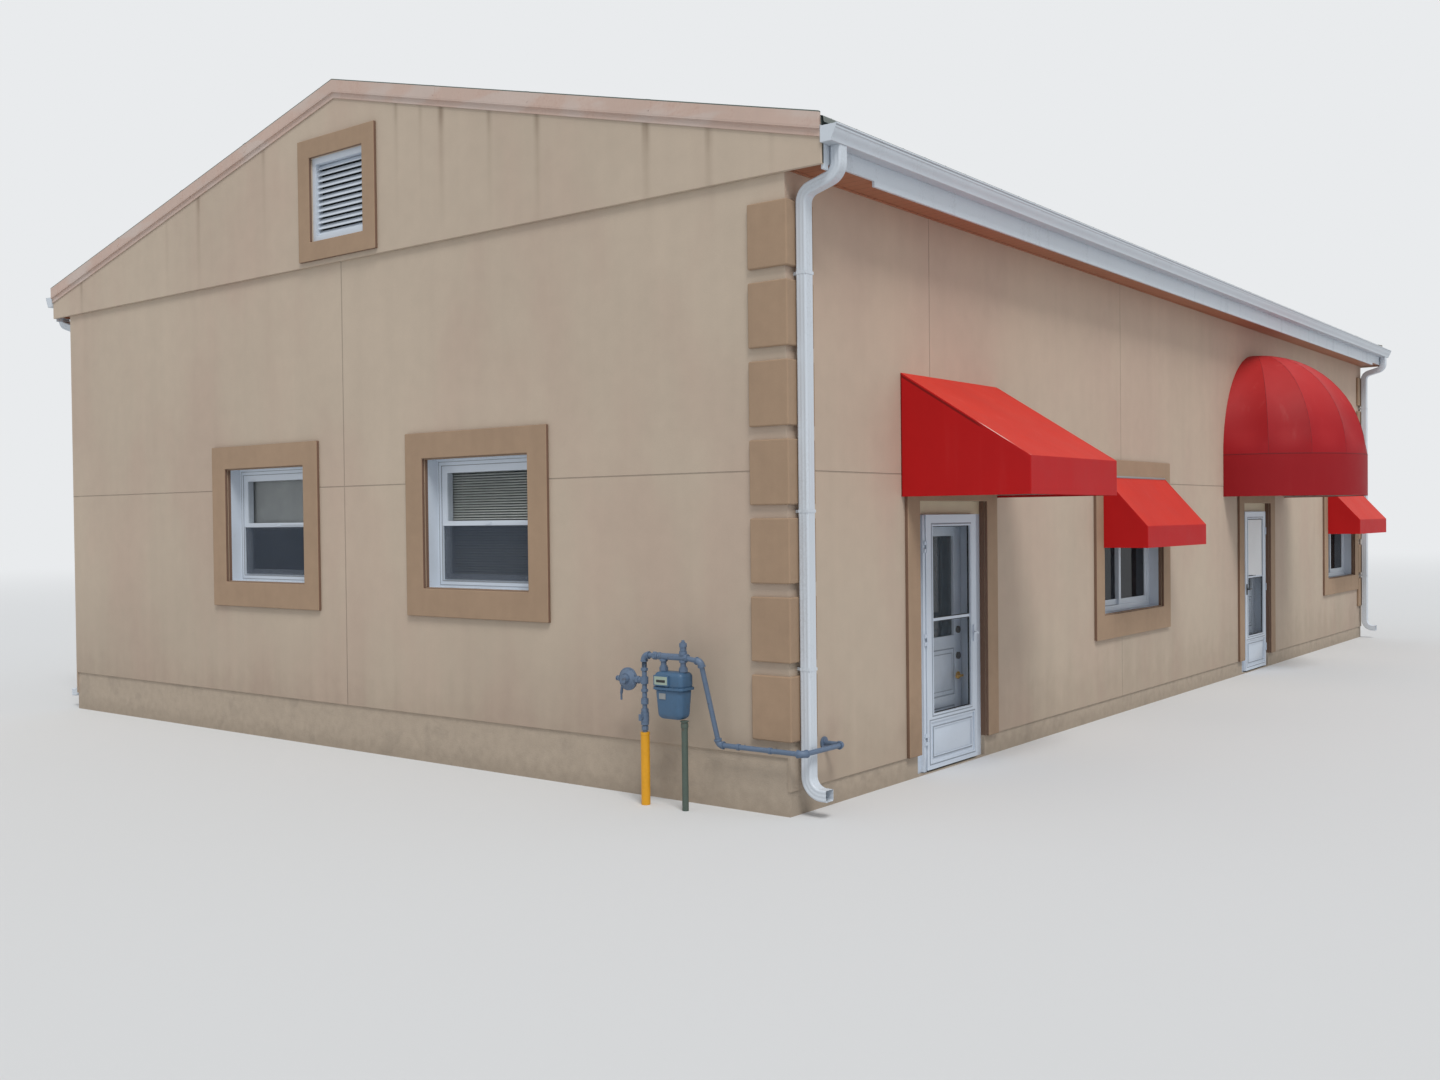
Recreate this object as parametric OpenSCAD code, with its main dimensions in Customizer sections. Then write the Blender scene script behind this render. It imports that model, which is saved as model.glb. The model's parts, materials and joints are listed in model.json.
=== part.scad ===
// Corner shop: gabled single-storey building with stucco walls, awnings and a gas meter set.
// Millimetres, Z up. The front gable faces -Y, the entrance side faces +X, the ground is Z = 0.

/* [Building] */
// Width of the building across the gable
body_w = 9360; // [8000:10:11000]
// Length of the building along the ridge
body_l = 15700; // [14000:10:18000]
// Thickness of the outer walls
wall_t = 200; // [190:5:300]
// Height of the soffit above the ground
soffit_z = 4240; // [3600:10:4800]
// Height of the lower edge of the upper gable band
band_z = 4217; // [3600:1:4800]
// How far the upper gable band stands proud of the wall
band_t = 30; // [15:1:60]
// Height where the stucco starts on the gable sides
gable_base_z = 392; // [300:1:500]
// Height where the stucco starts on the long sides
side_base_z = 170; // [120:1:260]
// How far the foundation is set back behind the stucco
base_inset = 12; // [5:1:30]
// Height of the floor slab above the ground
floor_t = 18; // [12:1:20]

/* [Roof] */
// Height of the top of the roof over the face of the fascia
eave_z = 4520.45; // [4400:0.05:5100]
// Slope of the roof in degrees
roof_angle = 13.85; // [10:0.05:20]
// Vertical thickness of the roof build-up
roof_t = 90; // [60:5:160]
// Gap between the roof and the walls, bands and fascias under it
seat_gap = 0.3; // [0.2:0.05:0.5]
// Thickness of the metal sheet that runs over the gutter
sheet_t = 25; // [15:1:40]
// Overhang from the wall to the face of the fascia
eave_out = 306; // [200:1:450]
// Reach of the roof sheet past the fascia
drip_out = 89; // [40:1:110]
// Thickness of the fascia board
fascia_t = 21; // [15:1:30]
// Height of the lower edge of the fascia
fascia_z = 4190; // [3500:1:4750]
// Height of the notch in the fascia's lower edge behind a downspout
notch_h = 38; // [36:1:46]
// Distance of the notch's far end from the corner
notch_l = 620; // [300:5:800]
// Thickness of the soffit panels
soffit_t = 12; // [8:1:20]
// Depth of the main rake trim
rake_h = 115; // [80:1:180]
// Thickness of the main rake trim
rake_t = 26; // [15:1:40]
// Depth of the strip below the rake trim
strip_h = 47; // [30:1:80]
// Thickness of the strip below the rake trim
strip_t = 10; // [6:1:20]
// Rise of the rake trim and the ridge cap above the roof surface
cap_rise = 26; // [20:1:40]
// Half width of the ridge cap
cap_w = 170; // [120:5:300]

/* [Gutters and downspouts] */
// Width of the gutter at its top
gutter_w = 130; // [100:1:160]
// Width of the gutter at its bottom
gutter_floor = 88; // [60:1:120]
// Height of the gutter
gutter_h = 110; // [90:1:125]
// Height of the gutter's bottom
gutter_z = 4345; // [3700:1:4800]
// Thickness of the gutter's sheet
gutter_t = 5; // [3:1:8]
// Gap between the gutter's floor, back, front and ends
gutter_gap = 0.3; // [0.2:0.05:0.5]
// Reach of the gutters past the gable walls
gutter_past = 45; // [20:1:60]
// Width of a downspout along the wall
spout_w = 92; // [60:1:110]
// Depth of a downspout out from the wall
spout_d = 80; // [50:1:90]
// Gap between a downspout and the wall
spout_gap = 36; // [32:1:60]
// Distance of the downspouts from the corners, to their middle
spout_in = 108; // [80:1:160]
// Inner radius of the two bends under the gutter
spout_bend = 57; // [40:1:70]
// Angle of the two bends under the gutter
spout_turn = 74; // [60:1:80]
// Inner radius of the bend at the foot
foot_bend = 75; // [50:1:90]
// Height where the bend at the foot starts
foot_z = 270; // [250:1:290]
// Length of the mouth past the bend at the foot
mouth_l = 42; // [20:1:80]
// How far the bends stand proud of the straight lengths that enter them
sleeve_t = 1; // [0.5:0.1:2]
// How far a straight length enters a bend
sleeve_in = 6; // [4:0.5:8]

/* [Trim] */
// Thickness of the raised surrounds and quoins
trim_t = 30; // [20:1:50]
// Width of a quoin block on each side of the corner
quoin_w = 290; // [200:5:400]
// Height of a quoin block
quoin_h = 432; // [300:1:500]
// Rise from one quoin block to the next
quoin_step = 519; // [400:1:600]
// Height of the lowest quoin block's lower edge
quoin_z = 497; // [400:1:600]
// Number of quoin blocks at a corner
quoin_n = 7; // [4:1:8]

/* [Gable windows and vent] */
// Width of a gable window's opening
gwin_w = 1216; // [900:2:1500]
// Height of a gable window's opening
gwin_h = 1056; // [800:2:1400]
// Height of a gable window's sill
gwin_z = 1426; // [1000:1:1700]
// Width of a gable window's surround
gwin_leg = 210; // [120:1:260]
// Place of the gable windows along the wall
gwin_at = [-1147, 1682];
// Depth of the window frames behind the wall's face
win_reveal = 130; // [60:1:135]
// Thickness of the white lining in a window's opening
liner_t = 8; // [4:1:12]
// Width of a window frame's members
winframe_w = 60; // [35:1:80]
// Width of a sash's members
sash_w = 56; // [30:1:80]
// Height of the rail where two sashes meet
rail_w = 40; // [30:1:60]
// Place of a vent along the wall
vent_x = 30; // [-100:5:100]
// Width of a vent's opening
vent_w = 730; // [500:2:900]
// Height of a vent's opening
vent_h = 730; // [500:1:900]
// Height of a vent's lower edge
vent_z = 4422; // [4300:1:4700]
// Width of a vent's surround
vent_leg = 165; // [80:1:220]
// Depth of a vent behind the band's face
vent_back = 10; // [5:1:40]
// Number of slats in a vent
slat_n = 12; // [6:1:16]

/* [Side windows] */
// Width of a side window's opening
swin_w = 1600; // [1200:2:1900]
// Height of a side window's opening
swin_h = 1305; // [1000:1:1500]
// Height of a side window's sill
swin_z = 995; // [800:1:1200]
// Width of a side window's surround
swin_leg = 200; // [120:1:260]
// Distance of the near side window's middle from the near corner
swin_near = 6060; // [5600:10:6400]
// Distance of the far side window's middle from the far corner
swin_far = 1310; // [1250:10:2000]

/* [Doors] */
// Width of a doorway
door_w = 1100; // [1000:2:1200]
// Height of a doorway
door_h = 2085; // [2040:1:2100]
// Distance of the near doorway's middle from the near corner
door_near = 2245; // [2000:5:2600]
// Distance of the far doorway's middle from the far corner
door_far = 5510; // [5000:5:5700]
// Width of a doorway's surround
door_leg = 185; // [120:1:220]
// Depth of the door frame's front behind the wall's face
frame_back = 45; // [42:1:60]
// Depth of a door frame
frame_d = 130; // [120:1:150]
// Clear width inside a door frame
clear_w = 780; // [740:2:800]
// Height of the door frame's head
head_h = 125; // [115:1:145]
// Height of the threshold
sill_z = 20; // [15:1:25]
// Width of a storm door
storm_w = 820; // [800:2:840]
// Height of a storm door's kick panel and lower rail
kick_h = 425; // [400:1:450]
// Height of the rails at the top and at the glazing's middle of a storm door
storm_rails = [88, 22];
// Thickness of a storm door
storm_t = 35; // [30:1:38]
// Thickness of an inner door
inner_t = 45; // [40:1:50]
// Width of a storm door's stiles
stile_w = 104; // [80:1:130]
// Height of the glazing's lower edge in an inner door
light_z = 1010; // [900:5:1100]
// Height of the rail over the glazing of an inner door
inner_rail = 143; // [100:1:180]
// Gap under and over a door
door_gap = 7; // [6:1:10]
// Gap between a door's hinge edge and its frame
hinge_gap = 6; // [5:1:9]
// Gap between an inner door's lock edge and its frame
lock_gap = 9; // [8:1:14]
// Radius of a hinge barrel
hinge_r = 6; // [5:0.5:8]
// Length of a hinge, three knuckles long
hinge_len = 90; // [60:5:120]
// Gap between the knuckles of a hinge
hinge_play = 0.3; // [0.2:0.05:0.5]

/* [Awnings] */
// Width of the door awning
dawn_w = 1560; // [1500:5:1700]
// Height of the door awning's top
dawn_top = 3030; // [2700:5:3300]
// Height of the door awning's front edge
dawn_front = 2386; // [2200:1:2600]
// Height of the door awning's lower edge
dawn_low = 2115; // [2100:1:2200]
// Reach of the door awning
dawn_out = 1030; // [800:5:1200]
// Width of a window awning
wawn_w = 1660; // [1620:5:1800]
// Height of a window awning's top
wawn_top = 2326; // [2200:1:2500]
// Height of a window awning's front edge
wawn_front = 1853; // [1700:1:2000]
// Height of a window awning's lower edge
wawn_low = 1648; // [1500:1:1800]
// Reach of a window awning from the wall's face
wawn_out = 462; // [350:1:600]
// Thickness of the awnings' covers
cover_t = 12; // [8:1:20]
// Radius of the dome awning
dome_r = 1265; // [1100:5:1300]
// Height of the seam between the dome and its valance
dome_z = 2650; // [2500:5:2800]
// Height of the dome awning's lower edge
dome_low = 2160; // [2100:5:2300]

/* [Gas set] */
// Distance of the meter's middle from the gable wall
gas_out = 220; // [180:1:300]
// Radius of the gas pipes
pipe_r = 21; // [15:1:30]
// Place of the riser along the gable wall
riser_x = 3615; // [3400:5:3800]
// Height of the pipe over the meter
over_z = 1035; // [950:5:1200]
// Left side of the meter
meter_x = 3745; // [3700:1:3900]
// Width of the meter
meter_w = 262; // [220:1:400]
// Depth of the meter
meter_d = 160; // [120:1:260]
// Distance of the meter's connections from its sides
port_in = 45; // [40:1:70]
// Radius of the meter's connections
port_r = 33; // [25:1:38]
// Height of the meter's underside
meter_z = 610; // [500:1:700]
// Height of the meter's top
meter_top = 938; // [850:1:1000]
// Height of the outlet pipe along the wall
outlet_z = 442; // [350:1:520]
// Distance of the outlet pipe from the walls
outlet_off = 75; // [60:1:100]
// Distance of the outlet pipe from the entrance wall round the corner
corner_off = 152; // [140:1:200]
// Length of the outlet pipe along the entrance side
side_run = 470; // [300:5:700]

/* [Hidden] */
hw = body_w / 2;
hl = body_l / 2;
eave_x = hw + eave_out;
drip_x = eave_x + drip_out;
roof_fall = tan(roof_angle);
ridge_z = eave_z + roof_fall * eave_x;
door_at = [-hl + door_near, hl - door_far];
swin_at = [-hl + swin_near, hl - swin_far];
clear_h = door_h - head_h;
base_top = sill_z - 8;
winframe_d = wall_t - win_reveal;
port_x = meter_x + meter_w - port_in;
gas_y = -hl - gas_out;
storm_front = -(frame_back - 5 - storm_t);
storm_axis = [-storm_w / 2 - 1, storm_front + hinge_r + 0.4];
inner_axis = [-clear_w / 2 + hinge_gap - 1, -frame_back - frame_d - hinge_r - 5];
hinges_at = [220, 980, 1690];
strap_z = [for (i = [1, 3, 6]) quoin_z + i * quoin_step - (quoin_step - quoin_h) / 2];
leaf_z0 = sill_z + door_gap;
storm_h = clear_h + 20 - leaf_z0;
storm_low = leaf_z0 + kick_h;
storm_high = leaf_z0 + storm_h - storm_rails[0];
storm_mid = (storm_low + storm_high) / 2;
inner_w = clear_w - hinge_gap - lock_gap;
inner_h = clear_h - leaf_z0 - door_gap;
light_h = leaf_z0 + inner_h - inner_rail - light_z;
ball_fn = 96;
pipe_fn = 40;
bar_fn = 24;

// Height of the roof's top, its underside and what stands under it, over a place across the gable
function roof_top(x) = ridge_z - roof_fall * abs(x);
function roof_low(x) = roof_top(x) - roof_t;
function seat(x) = roof_low(x) - seat_gap;

// A box from its low corner to its high corner
module block(a, b) {
    translate(a) cube([b[0] - a[0], b[1] - a[1], b[2] - a[2]]);
}

// Places on the four outer faces: first along the wall, then up, and out of the wall
module at_front(u, v) {
    translate([u, -hl, v]) rotate([90, 0, 0]) children();
}

module at_rear(u, v) {
    translate([u, hl, v]) rotate([90, 0, 180]) children();
}

module at_entrance(u, v) {
    translate([hw, u, v]) rotate([90, 0, 90]) children();
}

// A section drawn across the gable, run along the ridge from one place to another
module along_ridge(y0, y1) {
    translate([0, y1, 0]) rotate([90, 0, 0]) linear_extrude(height = y1 - y0) children();
}

// The same piece on the entrance side and on the back side
module both_sides() {
    children();
    mirror([1, 0, 0]) children();
}

// The same piece at the front and at the rear
module both_ends() {
    children();
    mirror([0, 1, 0]) children();
}

// A flat ring round an opening, standing out of the wall's face
module surround(w, h, leg, low_leg, t) {
    linear_extrude(height = t) difference() {
        translate([-w / 2 - leg, -low_leg]) square([w + 2 * leg, h + leg + low_leg]);
        translate([-w / 2, 0]) square([w, h]);
    }
}

// The surround of a doorway: two legs and a head
module door_surround(w, h, z0, leg, t) {
    linear_extrude(height = t) difference() {
        translate([-w / 2 - leg, z0]) square([w + 2 * leg, h - z0 + leg]);
        translate([-w / 2, z0 - 1]) square([w, h - z0 + 1]);
    }
}

module foundation() {
    x1 = hw - base_inset;
    y1 = hl - base_inset;
    ix = hw - wall_t;
    iy = hl - wall_t;
    gaps = [-iy, door_at[0] - door_w / 2, door_at[0] + door_w / 2,
        door_at[1] - door_w / 2, door_at[1] + door_w / 2, iy];
    color([0.60, 0.56, 0.50]) {
        both_ends() block([-x1, -y1, 0], [x1, -iy, side_base_z]);
        both_ends() block([-hw + 20, -y1, side_base_z], [hw - 20, -iy, gable_base_z]);
        block([-x1, -iy, 0], [-ix, iy, side_base_z]);
        for (i = [0, 2, 4]) block([ix, gaps[i], 0], [x1, gaps[i + 1], side_base_z]);
        for (i = [1, 3]) block([ix, gaps[i], 0], [x1, gaps[i + 1], base_top]);
    }
}

module floor_slab() {
    color([0.62, 0.60, 0.57])
        block([-hw + wall_t, -hl + wall_t, 0], [hw - wall_t, hl - wall_t, floor_t]);
}

// Gable wall at the front, with its two windows and its vent cut through
module gable_wall() {
    difference() {
        union() {
            along_ridge(-hl, -hl + wall_t)
                polygon([[-hw, gable_base_z], [hw, gable_base_z], [hw, seat(hw)],
                    [0, seat(0)], [-hw, seat(hw)]]);
            both_sides() block([hw - 20, -hl, side_base_z], [hw, -hl + wall_t, gable_base_z]);
        }
        for (x = gwin_at) block([x - gwin_w / 2, -hl - 1, gwin_z],
            [x + gwin_w / 2, -hl + wall_t + 1, gwin_z + gwin_h]);
        vent_cut(-hl - 1, -hl + wall_t + 1);
    }
}

// The hole of a vent, from one place to another through the wall
module vent_cut(y0, y1) {
    block([vent_x - vent_w / 2, y0, vent_z], [vent_x + vent_w / 2, y1, vent_z + vent_h]);
}

module front_gable_wall() {
    color([0.62, 0.56, 0.49]) gable_wall();
}

module rear_gable_wall() {
    color([0.62, 0.56, 0.49]) mirror([0, 1, 0]) gable_wall();
}

// Raised upper part of the gable, out to the ends of the eaves
module gable_bands() {
    color([0.62, 0.56, 0.49]) both_ends() difference() {
        along_ridge(-hl - band_t, -hl)
            polygon([[-eave_x, band_z], [eave_x, band_z], [eave_x, seat(eave_x)],
                [0, seat(0)], [-eave_x, seat(eave_x)]]);
        vent_cut(-hl - band_t - 1, -hl + 1);
    }
}

// A stretch of a long wall, up to the roof's underside
module long_wall(y0, y1, z0) {
    ix = hw - wall_t;
    along_ridge(y0, y1)
        polygon([[ix, z0], [hw, z0], [hw, seat(hw)], [ix, seat(ix)]]);
}

module window_cut(y) {
    block([hw - wall_t - 1, y - swin_w / 2, swin_z], [hw + 1, y + swin_w / 2, swin_z + swin_h]);
}

module entrance_wall_near() {
    color([0.62, 0.56, 0.49])
        long_wall(-hl + wall_t, door_at[0] - door_w / 2, side_base_z);
}

module entrance_wall_middle() {
    color([0.62, 0.56, 0.49]) difference() {
        long_wall(door_at[0] + door_w / 2, door_at[1] - door_w / 2, side_base_z);
        window_cut(swin_at[0]);
    }
}

module entrance_wall_far() {
    color([0.62, 0.56, 0.49]) difference() {
        long_wall(door_at[1] + door_w / 2, hl - wall_t, side_base_z);
        window_cut(swin_at[1]);
    }
}

module door_lintels() {
    color([0.62, 0.56, 0.49])
        for (y = door_at) long_wall(y - door_w / 2, y + door_w / 2, door_h);
}

module back_wall() {
    color([0.62, 0.56, 0.49])
        mirror([1, 0, 0]) long_wall(-hl + wall_t, hl - wall_t, side_base_z);
}

module roof_slope() {
    y = hl + band_t;
    along_ridge(-y, y)
        polygon([[0, roof_low(0)], [eave_x, roof_low(eave_x)], [eave_x, roof_top(eave_x)],
            [0, roof_top(0)]]);
}

module roof_entrance_slope() {
    color([0.36, 0.38, 0.36]) roof_slope();
}

module roof_back_slope() {
    color([0.36, 0.38, 0.36]) mirror([1, 0, 0]) roof_slope();
}

// The roof's sheet past the fascias, over the gutters
module drip_edges() {
    y = hl + band_t;
    color([0.36, 0.38, 0.36]) both_sides() along_ridge(-y, y)
        polygon([[eave_x, roof_top(eave_x) - sheet_t], [drip_x, roof_top(drip_x) - sheet_t],
            [drip_x, roof_top(drip_x)], [eave_x, roof_top(eave_x)]]);
}

module ridge_cap() {
    y = hl + band_t;
    color([0.36, 0.38, 0.36]) along_ridge(-y, y)
        polygon([[-cap_w, roof_top(cap_w)], [0, roof_top(0)], [cap_w, roof_top(cap_w)],
            [cap_w, roof_top(cap_w) + cap_rise], [0, roof_top(0) + cap_rise],
            [-cap_w, roof_top(cap_w) + cap_rise]]);
}

// A band that follows both slopes of the gable, from a depth below the roof to a rise above it
module rake_band(x, rise, low) {
    polygon([[-x, roof_top(x) - low], [0, roof_top(0) - low], [x, roof_top(x) - low],
        [x, roof_top(x) + rise], [0, roof_top(0) + rise], [-x, roof_top(x) + rise]]);
}

module rake_trims() {
    y = hl + band_t;
    color([0.63, 0.50, 0.42]) both_ends() {
        along_ridge(-y - rake_t, -y) rake_band(eave_x - seat_gap, cap_rise, rake_h - cap_rise);
        along_ridge(-y - strip_t, -y)
            rake_band(eave_x - seat_gap, -(rake_h - cap_rise), rake_h - cap_rise + strip_h);
    }
}

// The fascias are notched where the downspouts pass under them
module fascias() {
    x0 = eave_x - fascia_t;
    y0 = hl - spout_in + spout_w / 2 + 8;
    color([0.82, 0.83, 0.84]) both_sides() difference() {
        along_ridge(-hl, hl)
            polygon([[x0, fascia_z], [eave_x, fascia_z], [eave_x, seat(eave_x)], [x0, seat(x0)]]);
        both_ends() block([x0 - 1, hl - notch_l, fascia_z - 1], [eave_x + 1, y0, fascia_z + notch_h]);
    }
}

module soffits() {
    color([0.55, 0.38, 0.25]) both_sides()
        block([hw, -hl, soffit_z], [eave_x - fascia_t, hl, soffit_z + soffit_t]);
}

// Line of a gutter's front from its floor up: it slants out to a lip, set back by t
function gutter_line(t) = let(x = eave_x - t, z = gutter_z + gutter_h) [
    [x + gutter_floor, gutter_z], [x + gutter_w - 6, z - 42], [x + gutter_w, z - 30],
    [x + gutter_w, z]];

// A gutter of folded sheet: floor, back, slanted front, and the two ends
module gutters() {
    y = hl + gutter_past;
    t = gutter_t;
    g = gutter_gap;
    front = gutter_line(0);
    inner = gutter_line(t);
    color([0.84, 0.85, 0.87]) both_sides() {
        along_ridge(-y + t + g, y - t - g) {
            translate([eave_x, gutter_z]) square([gutter_floor - t - g, t]);
            translate([eave_x, gutter_z + t + g]) square([t, gutter_h - t - g]);
            polygon(concat(front, [for (i = [3, 2, 1, 0]) inner[i]]));
        }
        both_ends() along_ridge(y - t, y)
            polygon(concat([[eave_x, gutter_z + gutter_h], [eave_x, gutter_z]], front));
    }
}

// A bend of a downspout seen along the wall, from one angle to another about a centre
module spout_arc(c, r, a0, a1) {
    translate(c) intersection() {
        difference() {
            circle(r = r + spout_d, $fn = ball_fn);
            circle(r = r, $fn = ball_fn);
        }
        polygon(concat([[0, 0]], [for (i = [0 : 4]) let(a = a0 + (a1 - a0) * i / 4)
            2 * (r + spout_d) * [cos(a), sin(a)]]));
    }
}

// A downspout seen along the wall: outlet, two bends, long drop and the bend at the foot
module spout_section() {
    x0 = hw + spout_gap;
    x1 = x0 + spout_d;
    g0 = eave_x + 4;
    reach = 2 * spout_bend + spout_d;
    link = (g0 - x0 - reach * (1 - cos(spout_turn))) / sin(spout_turn);
    upper = [g0 - spout_bend, gutter_z - 100];
    lower = [x1 + spout_bend, upper[1] - reach * sin(spout_turn) - link * cos(spout_turn)];
    s = sleeve_t;
    k = sleeve_in;
    d = spout_d - 2 * s;
    translate([g0 + s, upper[1] - k]) square([d, gutter_z - upper[1] + k]);
    spout_arc(upper, spout_bend, -spout_turn, 0);
    translate(upper) rotate(-spout_turn) translate([spout_bend + s, -link - k]) square([d, link + 2 * k]);
    spout_arc(lower, spout_bend, 180 - spout_turn, 180);
    translate([x0 + s, foot_z - k]) square([d, lower[1] - foot_z + 2 * k]);
    spout_arc([x1 + foot_bend, foot_z], foot_bend, 180, 270);
    translate([x1 + foot_bend - k, foot_z - foot_bend - spout_d + s]) square([mouth_l + k, d]);
}

module spout(y) {
    mouth_x = hw + spout_gap + spout_d + foot_bend;
    mouth_z = foot_z - foot_bend - spout_d;
    difference() {
        along_ridge(y - spout_w / 2, y + spout_w / 2) spout_section();
        block([mouth_x, y - spout_w / 2 + 4, mouth_z + 4],
            [mouth_x + mouth_l + 1, y + spout_w / 2 - 4, mouth_z + spout_d - 4]);
    }
    for (z = strap_z) {
        block([hw, y - 20, z - 15], [hw + spout_gap, y + 20, z + 15]);
        difference() {
            block([hw + spout_gap - 4, y - spout_w / 2 - 3, z - 15],
                [hw + spout_gap + spout_d + 3, y + spout_w / 2 + 3, z + 15]);
            block([hw + spout_gap + 2, y - spout_w / 2 + 1, z - 16],
                [hw + spout_gap + spout_d - 2, y + spout_w / 2 - 1, z + 16]);
        }
    }
}

module downspouts() {
    color([0.84, 0.85, 0.87]) both_sides() {
        spout(-hl + spout_in);
        spout(hl - spout_in);
    }
}

// One quoin block wrapped round the front corner of the entrance side
module quoin(z) {
    block([hw - quoin_w, -hl - trim_t, z], [hw + trim_t, -hl, z + quoin_h]);
    block([hw, -hl, z], [hw + trim_t, -hl + quoin_w, z + quoin_h]);
}

module corner_quoins() {
    color([0.50, 0.42, 0.33]) both_ends()
        for (i = [0 : quoin_n - 1]) quoin(quoin_z + i * quoin_step);
}

module gable_surrounds() {
    color([0.50, 0.42, 0.33]) both_ends() {
        for (x = gwin_at) at_front(x, gwin_z) surround(gwin_w, gwin_h, gwin_leg, 228, trim_t);
        translate([0, -band_t, 0]) at_front(vent_x, vent_z)
            surround(vent_w, vent_h, vent_leg, vent_leg, trim_t);
    }
}

module side_window_surrounds() {
    color([0.50, 0.42, 0.33])
        for (y = swin_at) at_entrance(y, swin_z) surround(swin_w, swin_h, swin_leg, 230, trim_t);
}

module door_surrounds() {
    color([0.50, 0.42, 0.33])
        for (y = door_at) at_entrance(y, 0) door_surround(door_w, door_h, side_base_z, door_leg, trim_t);
}

// A box in an opening's own directions: corner to corner across it, and from one depth to another
module slab(u0, v0, u1, v1, d0, d1) {
    translate([u0, v0, -d1]) cube([u1 - u0, v1 - v0, d1 - d0]);
}

// A window in its lined opening, from the wall's face inwards: two sashes, the second set back.
// Each pane is a place [u0, v0, u1, v1], and the first sash takes the pocket [u0, v0, u1, v1].
module window_frame(w, h, panes, pocket) {
    f = winframe_w;
    t = liner_t;
    r = win_reveal;
    difference() {
        slab(-w / 2, 0, w / 2, h, 0, wall_t);
        slab(t - w / 2, t, w / 2 - t, h - t, -1, r);
        slab(f - w / 2, f, w / 2 - f, h - f, r - 1, r + 8);
        slab(pocket[0], pocket[1], pocket[2], pocket[3], r + 7, r + 34);
        for (p = panes) slab(p[0], p[1], p[2], p[3], r, wall_t + 1);
    }
}

function hung_panes(w, h) = let(x = w / 2 - winframe_w - sash_w, s = winframe_w + sash_w) [
    [-x, s, x, (h - rail_w) / 2], [-x, (h + rail_w) / 2, x, h - s]];
function hung_pocket(w, h) = [winframe_w - w / 2, winframe_w, w / 2 - winframe_w, (h - rail_w) / 2];

function slide_panes(w, h) = let(x = w / 2 - winframe_w - sash_w, s = winframe_w + sash_w) [
    [-x, s, -sash_w / 2, h - s], [sash_w / 2, s, x, h - s]];
function slide_pocket(w, h) = [winframe_w - w / 2, winframe_w, -sash_w / 2, h - winframe_w];

// The panes of a window: the first in the sash that is set back
module window_panes(panes) {
    for (i = [0, 1]) let(p = panes[i], d = win_reveal + (i == 0 ? 50 : 18))
        slab(p[0], p[1], p[2], p[3], d, d + 6);
}

module gable_window_frames() {
    color([0.86, 0.87, 0.88]) both_ends() for (x = gwin_at) at_front(x, gwin_z)
        window_frame(gwin_w, gwin_h, hung_panes(gwin_w, gwin_h), hung_pocket(gwin_w, gwin_h));
}

module side_window_frames() {
    color([0.86, 0.87, 0.88]) for (y = swin_at) at_entrance(y, swin_z)
        window_frame(swin_w, swin_h, slide_panes(swin_w, swin_h), slide_pocket(swin_w, swin_h));
}

module window_glass() {
    color([0.25, 0.29, 0.32, 0.5]) {
        both_ends() for (x = gwin_at)
            at_front(x, gwin_z) window_panes(hung_panes(gwin_w, gwin_h));
        for (y = swin_at) at_entrance(y, swin_z) window_panes(slide_panes(swin_w, swin_h));
    }
}

// Louvred vent: a frame with sloped slats
module louvre(w, h) {
    f = 45;
    g = 55;
    pitch = (h - 2 * g) / slat_n;
    difference() {
        slab(-w / 2, 0, w / 2, h, 0, 70);
        slab(f - w / 2, g, w / 2 - f, h - g, -1, 71);
    }
    for (i = [0 : slat_n - 1]) translate([-w / 2 + f - 2, g + i * pitch, 0]) rotate([90, 0, 90])
        linear_extrude(height = w - 2 * f + 4)
            polygon([[3, -24], [11, -24], [pitch * 0.92, -50], [pitch * 0.92 - 6, -56]]);
}

module gable_vents() {
    color([0.84, 0.85, 0.86]) both_ends()
        translate([0, vent_back - band_t, 0]) at_front(vent_x, vent_z) louvre(vent_w, vent_h);
}

// Knuckles of a door's hinges at an axis: the middle one on the leaf, the outer two on the frame
module leaf_knuckles(axis) {
    k = hinge_len / 3;
    for (h = hinges_at) translate([axis[0], h + k + hinge_play, axis[1]]) rotate([-90, 0, 0])
        cylinder(h = k - 2 * hinge_play, r = hinge_r, $fn = bar_fn);
}

module frame_knuckles(axis) {
    k = hinge_len / 3;
    for (h = hinges_at, i = [0, 2]) translate([axis[0], h + i * k, axis[1]]) rotate([-90, 0, 0])
        cylinder(h = k, r = hinge_r, $fn = bar_fn);
}

// Plates of a frame's knuckles, from one corner to the other across the hinge
module frame_plates(a, b) {
    k = hinge_len / 3;
    for (h = hinges_at, i = [0, 2]) translate([a[0], h + i * k, a[1]])
        cube([b[0] - a[0], k, b[1] - a[1]]);
}

// Door frame with its threshold, and the hinge rail for the storm door
module door_frame() {
    difference() {
        translate([-door_w / 2, base_top, -frame_back - frame_d])
            cube([door_w, door_h - base_top, frame_d]);
        translate([-clear_w / 2, sill_z, -frame_back - frame_d - 1])
            cube([clear_w, clear_h - sill_z, frame_d + 2]);
    }
    edge = -storm_w / 2 - hinge_gap;
    translate([edge - 34, sill_z, -frame_back]) cube([34, clear_h + 20 - sill_z, frame_back - 11]);
    frame_knuckles(storm_axis);
    frame_plates([edge - 24, -14], [edge - 1, storm_axis[1] - 1]);
    frame_plates([edge - 2, storm_axis[1] - 5], [storm_axis[0], storm_axis[1] - 1]);
    frame_knuckles(inner_axis);
    frame_plates([inner_axis[0] - 25, inner_axis[1] - 4], [-clear_w / 2, -frame_back - frame_d + 1]);
    frame_plates([-clear_w / 2 - 1, inner_axis[1] - 4], [inner_axis[0], inner_axis[1]]);
}

module door_frames() {
    color([0.84, 0.86, 0.88]) {
        at_door_1() door_frame();
        at_door_2() door_frame();
    }
}

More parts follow.
